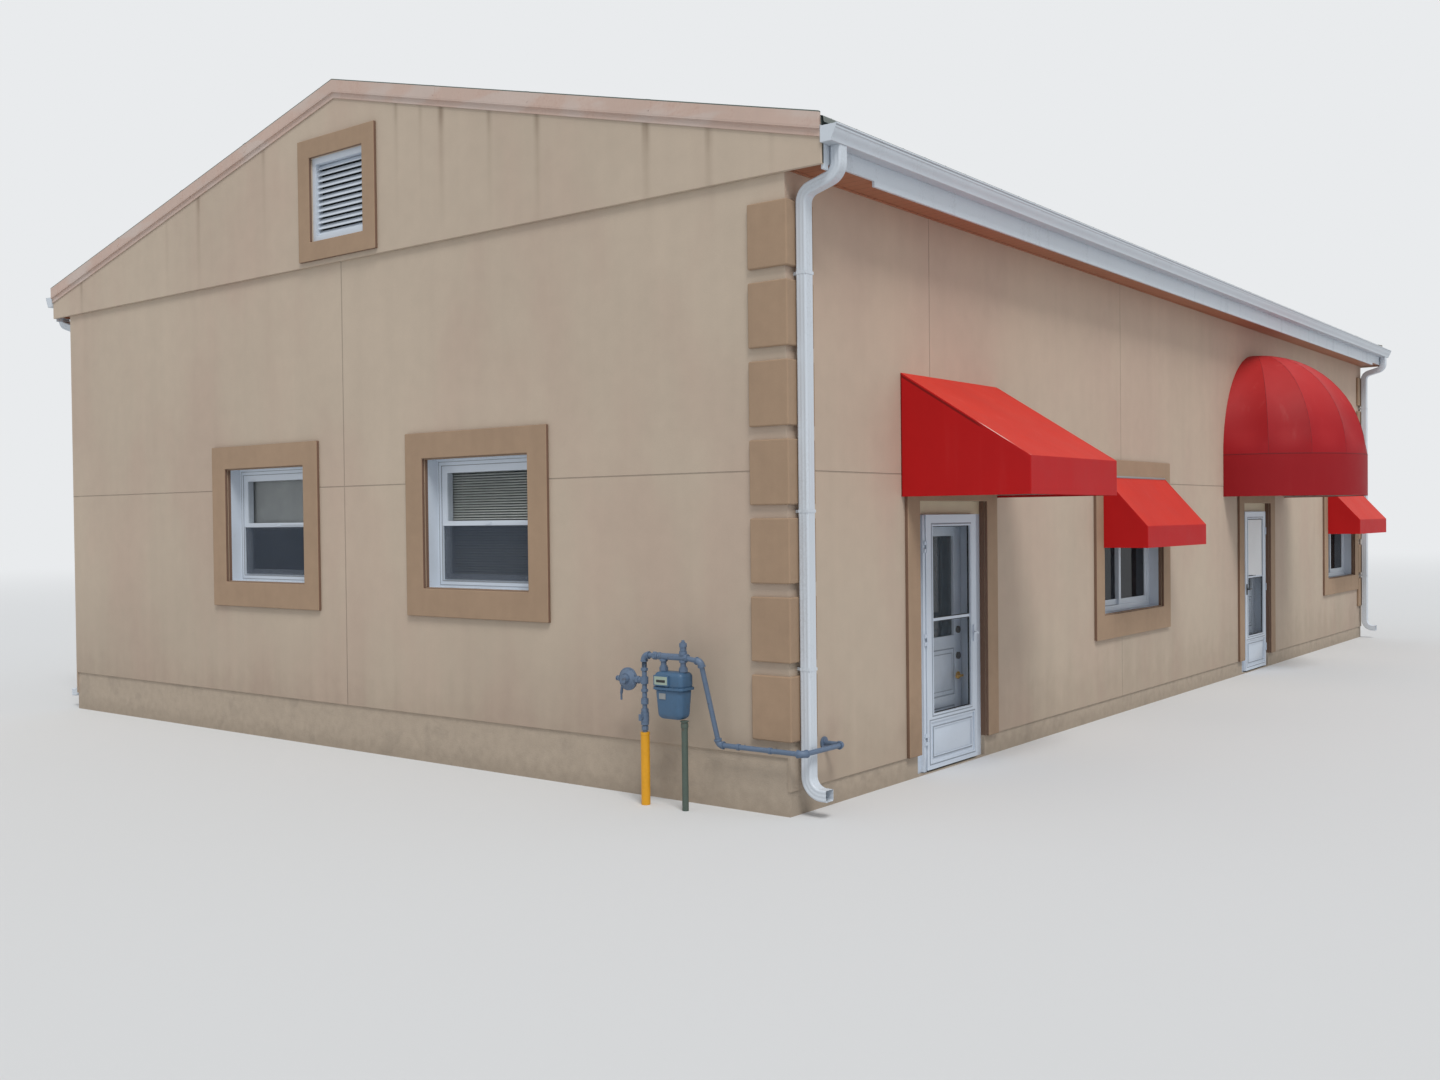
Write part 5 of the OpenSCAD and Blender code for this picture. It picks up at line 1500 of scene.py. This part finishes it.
class SlopedAwning:
    """A canvas stretched over a tube frame: slope, front drop and closed ends in one sheet."""

    fold = 0.020

    def __init__(self, y, back, width, top, front, low, out):
        self.y, self.width = y, width
        self.y0, self.y1 = y - width / 2, y + width / 2
        self.top, self.front, self.low = top, front, low
        self.out, self.back = WALL_X + out, WALL_X + back + 0.001
        self.fall = (top - front) / (self.out - self.back)

    def roof(self, x):
        return self.front + (self.out - x) * self.fall

    def cover(self):
        """The sheet's four faces, with a soft fold at each edge."""
        bm = bmesh.new()
        side = [(self.back, self.top), (self.out, self.front), (self.out, self.low), (self.back, self.low)]
        prism(bm, [(x, self.y0, z) for x, z in side], (0, self.width, 0))
        bmesh.ops.recalc_face_normals(bm, faces=bm.faces)
        bm.normal_update()
        gone = [f for f in bm.faces if f.normal.z < -0.9 or f.normal.x < -0.9]
        bmesh.ops.delete(bm, geom=gone, context="FACES_ONLY")
        bmesh.ops.delete(bm, geom=[e for e in bm.edges if not e.link_faces], context="EDGES")
        round_off(bm, [e for e in bm.edges if len(e.link_faces) == 2], 0.005, 3)
        return bm

    def cloth(self, name, sag, bays):
        """The sheet with a slight hang between the tubes, cut finely enough to bend."""
        bm = self.cover()
        slice_mesh(bm, "y", [self.y0 + self.fold, self.y1 - self.fold])
        slice_mesh(bm, "x", [self.back + self.fold, self.out - self.fold])
        slice_mesh(bm, "z", [self.low + 0.012])
        tilt = Vector((self.fall, 0, 1)).normalized()
        for depth in (self.fold, self.fold + 0.5 * (self.front - self.low)):
            bmesh.ops.bisect_plane(
                bm, geom=all_geom(bm), plane_co=Vector((self.out, 0, self.front)) - tilt * depth,
                plane_no=tilt, dist=0.0001,
            )
        for axis, start, reach, pitch in (
            ("y", self.y0, self.width, 0.11),
            ("x", self.back, self.out - self.back, 0.09),
            ("z", self.low, self.top - self.low, 0.1),
        ):
            cuts = int(reach / pitch)
            slice_mesh(bm, axis, [start + reach * i / cuts for i in range(1, cuts)])
        self.hang(bm, sag, bays)
        map_cloth(bm)
        sheet = finish_piece(bm, name, "canvas", crease=50)
        thin_wall(sheet, 0.0012, -1)
        return sheet

    def hang(self, bm, sag, bays):
        """Lets the cloth sink a little between the tubes, bay by bay."""
        bm.normal_update()
        bay = self.width / bays
        for v in bm.verts:
            n = v.normal
            x, y, z = v.co
            if abs(n.y) > 0.9:
                push = arch(x, self.back, self.out) * arch(z, self.low, self.roof(x))
                v.co.y -= (1 if n.y > 0 else -1) * sag * 0.9 * push
            elif n.x > 0.95:
                push = arch((y - self.y0) % bay, 0, bay) * arch(z, self.low - 0.05, self.front)
                v.co.x -= sag * 0.6 * push
            elif n.z > 0.3:
                push = arch((y - self.y0) % bay, 0, bay) * arch(x, self.back, self.out)
                v.co -= n * sag * (push + 0.15 * push * sin(y * 11 + x * 5))

    def trims(self, name, welt):
        """Welts along the ends of the slope and down and across the front."""
        bm = bmesh.new()
        x, z, y0, y1 = self.out - 0.004, self.front - 0.003, self.y0 + 0.004, self.y1 - 0.004
        for y in (y1, y0):
            head = (self.back + 0.006, y, self.roof(self.back) - 0.005)
            chain(bm, [head, (x, y, z), (x, y, self.low + 0.002)], welt, 10)
        rod(bm, (x, y0, z), (x, y1, z), welt, 10)
        map_cloth(bm)
        return finish_piece(bm, name, "canvas", crease=60)

    def rail(self, name):
        """The extrusion that clamps the head of the cloth to the wall."""
        bm = bmesh.new()
        y0, y1 = self.y0 - 0.002, self.y1 + 0.002
        block(bm, (self.back - 0.0004, y0, self.top - 0.004), (self.back + 0.004, y1, self.top + 0.016))
        block(bm, (self.back + 0.004, y0, self.top + 0.002), (self.back + 0.012, y1, self.top + 0.006))
        finish_piece(bm, name, "alloy", edge=0.0008)

    def tubes(self, name, s, rafters):
        """The square tubes of the frame, just inside the cloth."""
        bm = bmesh.new()
        x0, x1 = self.back + 0.003, self.out - 0.016
        y0, y1 = self.y0 + 0.016, self.y1 - 0.016
        low, front = self.low + 0.018, self.front - 0.030
        top = self.roof(x0 + s) - 0.030
        for x, z in ((x0, low), (x1 - s, low), (x1 - s, front - s), (x0, top - s)):
            block(bm, (x, y0, z), (x + s, y1, z + s))
        for y in (y0, y1 - s):
            block(bm, (x0, y, low), (x1, y + s, low + s))
            block(bm, (x0, y, low), (x0 + s, y + s, top))
            block(bm, (x1 - s, y, low), (x1, y + s, front))
        run = Vector((x1 - x0, 0, front - top))
        turn = Matrix.Rotation(radians(45), 3, run.normalized())
        for i in range(rafters):
            start = Vector((x0 + s / 2, y0 + s / 2 + (y1 - y0 - s) * i / (rafters - 1), top - s / 2))
            verts = rod(bm, start, start + run * 0.985, s * 0.68, 4)
            bmesh.ops.rotate(bm, verts=verts, cent=start, matrix=turn)
        finish_piece(bm, name, "alloy", edge=0.0015)


class SHOP_OT_door_awning(ShopOperator, bpy.types.Operator):
    """Stretch the awning over the near door on its tube frame"""

    bl_idname = "shop.door_awning"
    bl_label = "Door Awning"

    def execute(self, context):
        cloth = props("awnings")
        awning = SlopedAwning(DOOR_Y[0], 0.0, **DOOR_AWNING)
        sheet = awning.cloth("door_awning_cloth", cloth.sag, 2)
        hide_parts("door_awning")
        welts = awning.trims("door_awning_welts", cloth.welt)
        awning.tubes("door_awning_tubes", 0.025, 3)
        return {"FINISHED"}


class SHOP_OT_window_awnings(ShopOperator, bpy.types.Operator):
    """Stretch the awnings over the side windows on their tube frames"""

    bl_idname = "shop.window_awnings"
    bl_label = "Window Awnings"

    def execute(self, context):
        cloth = props("awnings")
        for i, y in enumerate(SIDE_WINDOW_Y, 1):
            awning = SlopedAwning(y, WINDOW_TRIM, **WINDOW_AWNING)
            sheet = awning.cloth(f"window_awning_cloth_{i}", cloth.sag * 0.7, 2)
            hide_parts("window_awnings")
            welts = awning.trims(f"window_awning_welts_{i}", cloth.welt)
            awning.tubes(f"window_awning_tubes_{i}", 0.022, 3)
            awning.rail(f"window_awning_rail_{i}")
        return {"FINISHED"}


class SHOP_OT_dome_awning(ShopOperator, bpy.types.Operator):
    """Sew the gores of the dome over the far door, with its hoops and ribs"""

    bl_idname = "shop.dome_awning"
    bl_label = "Dome Awning"

    def facet(self, azimuth, climb, gores):
        """How much nearer the middle the cloth lies between two ribs: a chord that also sags."""
        gore = pi / gores
        within = (azimuth % gore) - gore / 2
        chord = cos(gore / 2) / cos(within)
        slack = 1 - 0.024 * (1 - (2 * within / gore) ** 2)
        share = min(1.0, climb / radians(14))
        share = share * share * (3 - 2 * share)
        return 1 + (chord * slack - 1) * share

    def point(self, azimuth, climb, radius, gores):
        """A place on the dome: azimuth along the wall from the near end, climb from the seam."""
        flat = radius * cos(climb) * self.facet(azimuth, climb, gores)
        return Vector((WALL_X + 0.001 + flat * sin(azimuth), DOOR_Y[1] - flat * cos(azimuth),
                       DOME_SEAM + radius * sin(climb)))

    def execute(self, context):
        cloth = props("awnings")
        gores = cloth.gores
        rings = 18
        bm = bmesh.new()
        top = DOME_RADIUS - 0.002
        start = [(top, DOME_LOW + dz) for dz in (0, 0.028, 0.16, 0.32)] + [(top, DOME_SEAM)]
        for i in range(1, rings):
            climb = pi / 2 * i / rings
            start.append((top * cos(climb), DOME_SEAM + top * sin(climb)))
        start.append((0.0, DOME_SEAM + top))
        centre = Vector((WALL_X + 0.001, DOOR_Y[1], 0))
        verts = [bm.verts.new(centre + Vector((0, -r, z))) for r, z in start]
        edges = [bm.edges.new(pair) for pair in zip(verts, verts[1:])]
        bmesh.ops.spin(bm, geom=verts + edges, cent=centre, axis=(0, 0, 1), angle=pi, steps=gores * 6)
        bmesh.ops.remove_doubles(bm, verts=bm.verts, dist=0.0005)
        bmesh.ops.recalc_face_normals(bm, faces=bm.faces)
        for v in bm.verts:
            out = v.co - centre
            azimuth = atan2(max(out.x, 0.0), -out.y)
            flat = hypot(out.x, out.y)
            climb = atan2(max(v.co.z - DOME_SEAM, 0), max(flat, 1e-6))
            factor = self.facet(azimuth, climb, gores) if flat > 0.01 else 1
            v.co.x = centre.x + out.x * factor
            v.co.y = centre.y + out.y * factor
        map_cloth(bm)
        sheet = finish_piece(bm, "dome_cloth", "dome", stands_for="dome_awning", crease=13)
        thin_wall(sheet, 0.0012, -1)
        welts = self.welts(gores, cloth.welt)
        self.tubes(gores)
        return {"FINISHED"}

    def welts(self, gores, welt):
        """A sewn cord along each seam of the dome, and one over the valance."""
        bm = bmesh.new()
        skin = DOME_RADIUS - 0.003
        for i in range(1, gores):
            places = [self.point(pi * i / gores, pi / 2 * k / 16, skin, gores) for k in range(16)]
            chain(bm, places, welt * 0.6, 8)
        chain(bm, [self.point(pi * k / 48, 0, skin, gores) for k in range(49)], welt * 0.8, 8)
        map_cloth(bm)
        return finish_piece(bm, "dome_welts", "cord", crease=60)

    def tubes(self, gores):
        """The round tubes under the cloth: two hoops, and a rib under each seam and at each end."""
        bm = bmesh.new()
        inner = DOME_RADIUS - 0.030
        for z in (DOME_LOW + 0.02, DOME_SEAM):
            hoop = []
            for k in range(37):
                azimuth = pi * k / 36
                out = 0.012 + (inner - 0.012) * sin(azimuth)
                hoop.append((WALL_X + out, DOOR_Y[1] - inner * cos(azimuth), z))
            chain(bm, hoop, 0.0125, 10)
        for i in range(gores + 1):
            azimuth = min(max(pi * i / gores, 0.012), pi - 0.012)
            places = [self.point(azimuth, pi / 2 * k / 12, inner, gores) for k in range(12)]
            places.append(Vector((WALL_X + 0.014, DOOR_Y[1], DOME_SEAM + inner)))
            chain(bm, places, 0.011, 8)
            rod(bm, (*places[0].xy, DOME_LOW + 0.02), places[0], 0.011, 8)
        for v in bm.verts:
            v.co.x = max(v.co.x, WALL_X + 0.0005)
        finish_piece(bm, "dome_tubes", "alloy")


class SHOP_OT_gas_set(ShopOperator, bpy.types.Operator):
    """Fit the riser, regulator, meter and outlet pipe with their unions, valves and bolts"""

    bl_idname = "shop.gas_set"
    bl_label = "Gas Set"

    y = -GABLE_Y - 0.220
    pipe = 0.0172
    riser = 3.615
    over = 1.035
    meter_low = 0.610
    meter_high = 0.938
    inlet = 3.790
    outlet = 3.962
    meter_x = (3.745, 4.007)

    def elbow(self, bm, corner, come, go, reach):
        """A quarter bend round a corner: from direction come into direction go."""
        angle = come.angle(go)
        start = corner - come * reach * tan(angle / 2)
        axis = come.cross(go).normalized()
        centre = start + axis.cross(come) * reach
        turn = come.to_track_quat("Z", "Y").to_matrix().to_4x4()
        ring = bmesh.ops.create_circle(
            bm, segments=16, radius=self.pipe + 0.007, cap_ends=False, matrix=Matrix.Translation(start) @ turn
        )["verts"]
        edges = ring_of(bm, ring)
        made = bmesh.ops.spin(bm, geom=edges, cent=centre, axis=axis, angle=angle, steps=8)
        for verts in (ring, verts_in(made["geom_last"])):
            bmesh.ops.contextual_create(bm, geom=ring_of(bm, verts))
        return start, corner + go * reach * tan(angle / 2)

    def bend(self, bm, before, corner, come, go, reach=0.034, collars=2):
        """A pipe up to an elbow with its collars; tells where the elbow ends."""
        come, go = Vector(come), Vector(go)
        start, end = self.elbow(bm, Vector(corner), come, go, reach)
        rod(bm, before, start, self.pipe, 20)
        rod(bm, start - come * 0.010, start, self.pipe + 0.010, 20)
        if collars > 1:
            rod(bm, end, end + go * 0.010, self.pipe + 0.010, 20)
        return end

    def execute(self, context):
        self.riser_pipes()
        self.meter()
        self.outlet_pipes()
        self.post()
        return {"FINISHED"}

    def post(self):
        """The post under the meter, with the plate that carries it."""
        low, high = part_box("meter_post")
        bm = bmesh.new()
        upright(bm, (low.x + high.x) / 2, (low.y + high.y) / 2, (
            (0.0, high.z - 0.006, 0.0220, 28),
            (high.z - 0.010, high.z - 0.002, 0.0285, 28),
            (high.z - 0.050, high.z - 0.020, 0.0255, 28),
        ))
        finish_piece(bm, "meter_post_tube", "post", stands_for="meter_post", edge=0.0015, crease=30)

    def riser_pipes(self):
        """The riser with its valve and unions, the elbow over it and the meter bar."""
        x, y, r = self.riser, self.y, self.pipe
        bm = bmesh.new()
        upright(bm, x, y, (
            (0.0, 0.99, r, 20), (0.515, 0.545, r + 0.007, 6), (0.552, 0.575, r + 0.010, 20),
            (0.575, 0.640, r + 0.012, 20), (0.640, 0.664, r + 0.009, 6), (0.695, 0.735, r + 0.009, 20),
            (0.780, 0.800, r + 0.008, 6), (0.835, 0.885, r + 0.010, 20), (0.925, 0.945, r + 0.008, 6),
        ))
        end = self.bend(bm, (x, y, 0.95), (x, y, self.over), (0, 0, 1), (1, 0, 0), 0.036)
        rod(bm, end, (self.inlet - 0.02, y, self.over), r, 20)
        rod(bm, (x + 0.085, y, self.over), (x + 0.112, y, self.over), r + 0.011, 6)
        rod(bm, (x + 0.112, y, self.over), (x + 0.128, y, self.over), r + 0.007, 20)
        self.meter_bar(bm)
        rod(bm, (x, y, 0.607), (x, y - 0.046, 0.607), 0.013, 12)
        block(bm, (x - 0.010, y - 0.056, 0.585), (x + 0.010, y - 0.044, 0.630))
        self.regulator(bm, x, y)
        finish_piece(bm, "gas_riser_pipes", "pipe", stands_for="gas_riser", edge=0.0012, crease=30)
        bm = bmesh.new()
        upright(bm, x, y, ((0.0, 0.498, r + 0.0140, 28), (0.484, 0.502, r + 0.0155, 28)))
        finish_piece(bm, "riser_sleeve", "sleeve", edge=0.001)

    def meter_bar(self, bm):
        """The casting over the meter that holds both of its swivels."""
        y, z, high = self.y, self.over, self.meter_high
        x0, x1 = self.inlet - 0.030, self.outlet + 0.030
        verts = block(bm, (x0, y - 0.021, z - 0.022), (x1, y + 0.021, z + 0.022))
        lengthwise = [e for e in ring_of(bm, verts) if abs(e.verts[0].co.x - e.verts[1].co.x) > 0.05]
        round_off(bm, lengthwise, 0.015, 4)
        for x in (self.inlet, self.outlet):
            upright(bm, x, y, (
                (high - 0.004, z, 0.0195, 20), (high - 0.002, high + 0.024, 0.031, 6),
                (high + 0.024, high + 0.034, 0.026, 20), (z - 0.034, z - 0.018, 0.028, 20),
            ))
        rod(bm, (x0 - 0.012, y, z), (x0 + 0.004, y, z), self.pipe + 0.009, 8)
        rod(bm, (x1 - 0.004, y, z), (x1 + 0.012, y, z), self.pipe + 0.009, 8)

    def regulator(self, bm, x, y):
        """The regulator beside the riser: a drum with a bolted rim, a spring cap and a vent."""
        z, r = 0.860, self.pipe
        cx = x - 0.150
        rod(bm, (x, y, z), (cx + 0.05, y, z), r + 0.003, 20)
        rod(bm, (x - 0.045, y, z), (x - 0.070, y, z), r + 0.010, 6)
        for y0, y1, segments, near, far in (
            (0.028, 0.008, 28, 0.050, 0.074), (0.008, -0.008, 32, 0.080, 0.080),
            (-0.008, -0.030, 28, 0.074, 0.044), (-0.030, -0.060, 24, 0.033, 0.028),
        ):
            rod(bm, (cx, y + y0, z), (cx, y + y1, z), near, segments, far)
        for i in range(8):
            a = radians(22.5 + 45 * i)
            px, pz = cx + 0.070 * cos(a), z + 0.070 * sin(a)
            rod(bm, (px, y - 0.013, pz), (px, y + 0.013, pz), 0.006, 6)
        rod(bm, (cx - 0.04, y, z), (x - 0.250, y, z), 0.014, 16)
        rod(bm, (x - 0.222, y, z), (x - 0.240, y, z), 0.020, 6)
        rod(bm, (x - 0.247, y, z), (x - 0.254, y, z), 0.018, 16)
        rod(bm, (cx - 0.052, y - 0.004, z - 0.05), (cx - 0.062, y - 0.004, z - 0.105), 0.010, 14)
        rod(bm, (cx - 0.062, y - 0.004, z - 0.100), (cx - 0.062, y - 0.004, z - 0.150), 0.0075, 12)

    def meter(self):
        """The meter: a pressed case in two halves with a bolted rim, its index and its plate; its ports come
        with the meter bar.
        """
        y, (x0, x1) = self.y, self.meter_x
        seam = 0.824
        bm = bmesh.new()
        block(bm, (x0 + 0.007, y - 0.072, seam - 0.01), (x1 - 0.007, y + 0.072, self.meter_high - 0.003))
        round_off(bm, [e for e in bm.edges if min(v.co.z for v in e.verts) > seam - 0.02], 0.034, 5)
        top = set(bm.verts)
        low = self.meter_low + 0.004
        for v in block(bm, (x0 + 0.009, y - 0.070, low), (x1 - 0.009, y + 0.070, seam + 0.01)):
            if v.co.z < seam - 0.05:
                v.co.x += 0.020 * (1 if v.co.x < (x0 + x1) / 2 else -1)
                v.co.y += 0.006 * (1 if v.co.y < y else -1)
        round_off(bm, [e for e in bm.edges if e.verts[0] not in top], 0.040, 6)
        rim = block(bm, (x0 + 0.001, y - 0.079, seam - 0.009), (x1 - 0.001, y + 0.079, seam + 0.009))
        corners = [e for e in ring_of(bm, rim) if abs(e.verts[0].co.z - e.verts[1].co.z) > 0.01]
        round_off(bm, corners, 0.030, 5)
        for i in range(5):
            px = x0 + 0.034 + (x1 - x0 - 0.068) * i / 4
            for py in (y - 0.072, y + 0.072):
                rod(bm, (px, py, seam - 0.014), (px, py, seam + 0.014), 0.005, 6)
        finish_piece(bm, "meter_case", "meter", stands_for="gas_meter", edge=0.0010, crease=40)
        for name, paint, low, high, edge in (
            ("index_box", "meter", (0.022, -0.0850, 0.842), (0.152, -0.060, 0.914), 0.003),
            ("index_face", "dial", (0.031, -0.0856, 0.850), (0.143, -0.084, 0.906), 0.0006),
            ("index_window", "black", (0.048, -0.0862, 0.866), (0.126, -0.085, 0.884), 0.0006),
            ("plate", "steel", (0.060, -0.0716, 0.752), (0.118, -0.069, 0.792), 0.0006),
        ):
            bm = bmesh.new()
            place = Vector((x0, y, 0))
            block(bm, place + Vector(low), place + Vector(high))
            finish_piece(bm, "meter_" + name, paint, edge=edge)

    def outlet_pipes(self):
        """The pipe from the meter down to the wall, round the corner and into the entrance side."""
        x, y, r = self.outlet, self.y, self.pipe
        wall_y = -GABLE_Y - 0.075
        far_x = WALL_X + 0.152
        end_y = wall_y + 0.470
        z = 0.442
        bm = bmesh.new()
        upright(bm, x, y, (
            (self.over, self.over + 0.105, r, 20), (1.050, 1.078, r + 0.010, 20),
            (1.080, 1.104, r + 0.006, 6), (1.104, 1.132, r + 0.009, 20), (1.132, 1.152, r - 0.003, 4),
        ))
        head = Vector((x, y, self.over))
        corner = Vector((x + 0.150, y, self.over - 0.020))
        base = Vector((x + 0.185, wall_y, z))
        down = (base - corner).normalized()
        end = self.bend(bm, head, corner, (corner - head).normalized(), down)
        end = self.bend(bm, end, base, down, (1, 0, 0))
        end = self.bend(bm, end, (far_x, wall_y, z), (1, 0, 0), (0, 1, 0))
        end = self.bend(bm, end, (far_x, end_y, z), (0, 1, 0), (-1, 0, 0), collars=1)
        rod(bm, end, (WALL_X + 0.001, end_y, z), r, 20)
        rod(bm, (WALL_X + 0.010, end_y, z), (WALL_X + 0.001, end_y, z), 0.043, 24)
        for px in (4.30, 4.56):
            rod(bm, (px, wall_y, z), (px + 0.022, wall_y, z), r + 0.005, 20)
            rod(bm, (px + 0.011, wall_y + r, z), (px + 0.011, -GABLE_Y - 0.001, z), 0.006, 8)
        finish_piece(bm, "gas_outlet_pipes", "pipe", stands_for="gas_pipe", edge=0.0012, crease=30)


class SHOP_OT_stage(ShopOperator, bpy.types.Operator):
    """Set the pale floor, the soft lights and the camera"""

    bl_idname = "shop.stage"
    bl_label = "Stage"

    eye = (9.747, -15.113, 1.969)
    yaw, pitch, roll = 37.782, -0.910, -0.638
    focal, sensor = 33.851, 36.0

    def execute(self, context):
        self.floor()
        self.world(context)
        self.lamp()
        self.camera(context)
        return {"FINISHED"}

    def floor(self):
        """A wide pale floor that fades into the backdrop far away."""
        bm = bmesh.new()
        bmesh.ops.create_grid(bm, x_segments=1, y_segments=1, size=600)
        mesh = bpy.data.meshes.new("studio_floor")
        bm.to_mesh(mesh)
        bm.free()
        made = bpy.data.objects.new("studio_floor", mesh)
        bpy.context.scene.collection.objects.link(made)
        paint = Paint("studio_floor", roughness=0.95, base_color=props("stage").floor)
        x, y, _ = paint.axes()
        far = (x * x + y * y).root().rise(16, 60) * paint.node("LightPath").outputs["Is Camera Ray"]
        glow = paint.node("Emission", None, {"Color": BACKDROP, "Strength": 1.0})
        blend = paint.node("MixShader", None, {0: far, 1: paint.shader.outputs[0], 2: glow.outputs[0]})
        paint.plug(paint.tree.nodes["Material Output"].inputs["Surface"], blend.outputs[0])
        mesh.materials.append(paint.material)

    def world(self, context):
        """A pale sky to look at, also through panes and in polished metal, and a softer one to light with."""
        world = bpy.data.worlds.new("studio_world")
        context.scene.world = world
        world.use_nodes = True
        nodes = Nodes(world.node_tree)
        rays = nodes.node("LightPath").outputs
        seen = Value(nodes, rays["Is Camera Ray"])
        seen = seen.most(rays["Is Transmission Ray"]).most(rays["Is Glossy Ray"])
        level = nodes.node("MapRange", None, {"Value": seen, "To Min": props("stage").sky, "To Max": 1.0})
        back = world.node_tree.nodes["Background"]
        nodes.plug(back.inputs["Strength"], level.outputs[0])
        nodes.plug(back.inputs["Color"], BACKDROP)

    def lamp(self):
        light = bpy.data.lights.new("soft_sun", "SUN")
        light.energy = props("stage").sun
        light.angle = radians(20)
        light.color = (1.0, 0.985, 0.96)
        made = bpy.data.objects.new("soft_sun", light)
        bpy.context.scene.collection.objects.link(made)
        made.rotation_euler = Vector((0.62, -0.50, 1.15)).to_track_quat("Z", "Y").to_euler()

    def camera(self, context):
        lens = bpy.data.cameras.new("photo_camera")
        lens.sensor_fit = "HORIZONTAL"
        lens.sensor_width = self.sensor
        lens.lens = self.focal
        lens.clip_end = 2000
        made = bpy.data.objects.new("photo_camera", lens)
        bpy.context.scene.collection.objects.link(made)
        turn = (Matrix.Rotation(radians(self.yaw), 4, "Z")
                @ Matrix.Rotation(radians(90 + self.pitch), 4, "X")
                @ Matrix.Rotation(radians(self.roll), 4, "Z"))
        made.matrix_world = Matrix.Translation(self.eye) @ turn
        context.scene.camera = made
        context.scene.view_settings.view_transform = "Standard"


OPERATORS = (
    SHOP_OT_walls, SHOP_OT_roof, SHOP_OT_gutters, SHOP_OT_downspouts, SHOP_OT_windows, SHOP_OT_vents,
    SHOP_OT_doors, SHOP_OT_door_awning, SHOP_OT_window_awnings, SHOP_OT_dome_awning, SHOP_OT_gas_set,
    SHOP_OT_stage,
)


class SHOP_PT_panel(bpy.types.Panel):
    """The shop's pieces and their settings"""

    bl_idname = "SHOP_PT_panel"
    bl_label = "Corner Shop"
    bl_space_type = "VIEW_3D"
    bl_region_type = "UI"
    bl_category = "Shop"

    def draw(self, context):
        for operator in OPERATORS:
            self.layout.operator(operator.bl_idname)
        for name, group in GROUPS.items():
            box = self.layout.box()
            for field in group.__annotations__:
                box.prop(getattr(context.scene, name), field)


def register():
    for each in (*GROUPS.values(), *OPERATORS, SHOP_PT_panel):
        bpy.utils.register_class(each)
    for name, group in GROUPS.items():
        setattr(bpy.types.Scene, name, PointerProperty(type=group))


def unregister():
    for name in GROUPS:
        delattr(bpy.types.Scene, name)
    for each in reversed((*GROUPS.values(), *OPERATORS, SHOP_PT_panel)):
        bpy.utils.unregister_class(each)


def main():
    register()
    for operator in OPERATORS:
        group, name = operator.bl_idname.split(".")
        getattr(getattr(bpy.ops, group), name)()


if __name__ == "__main__":
    main()
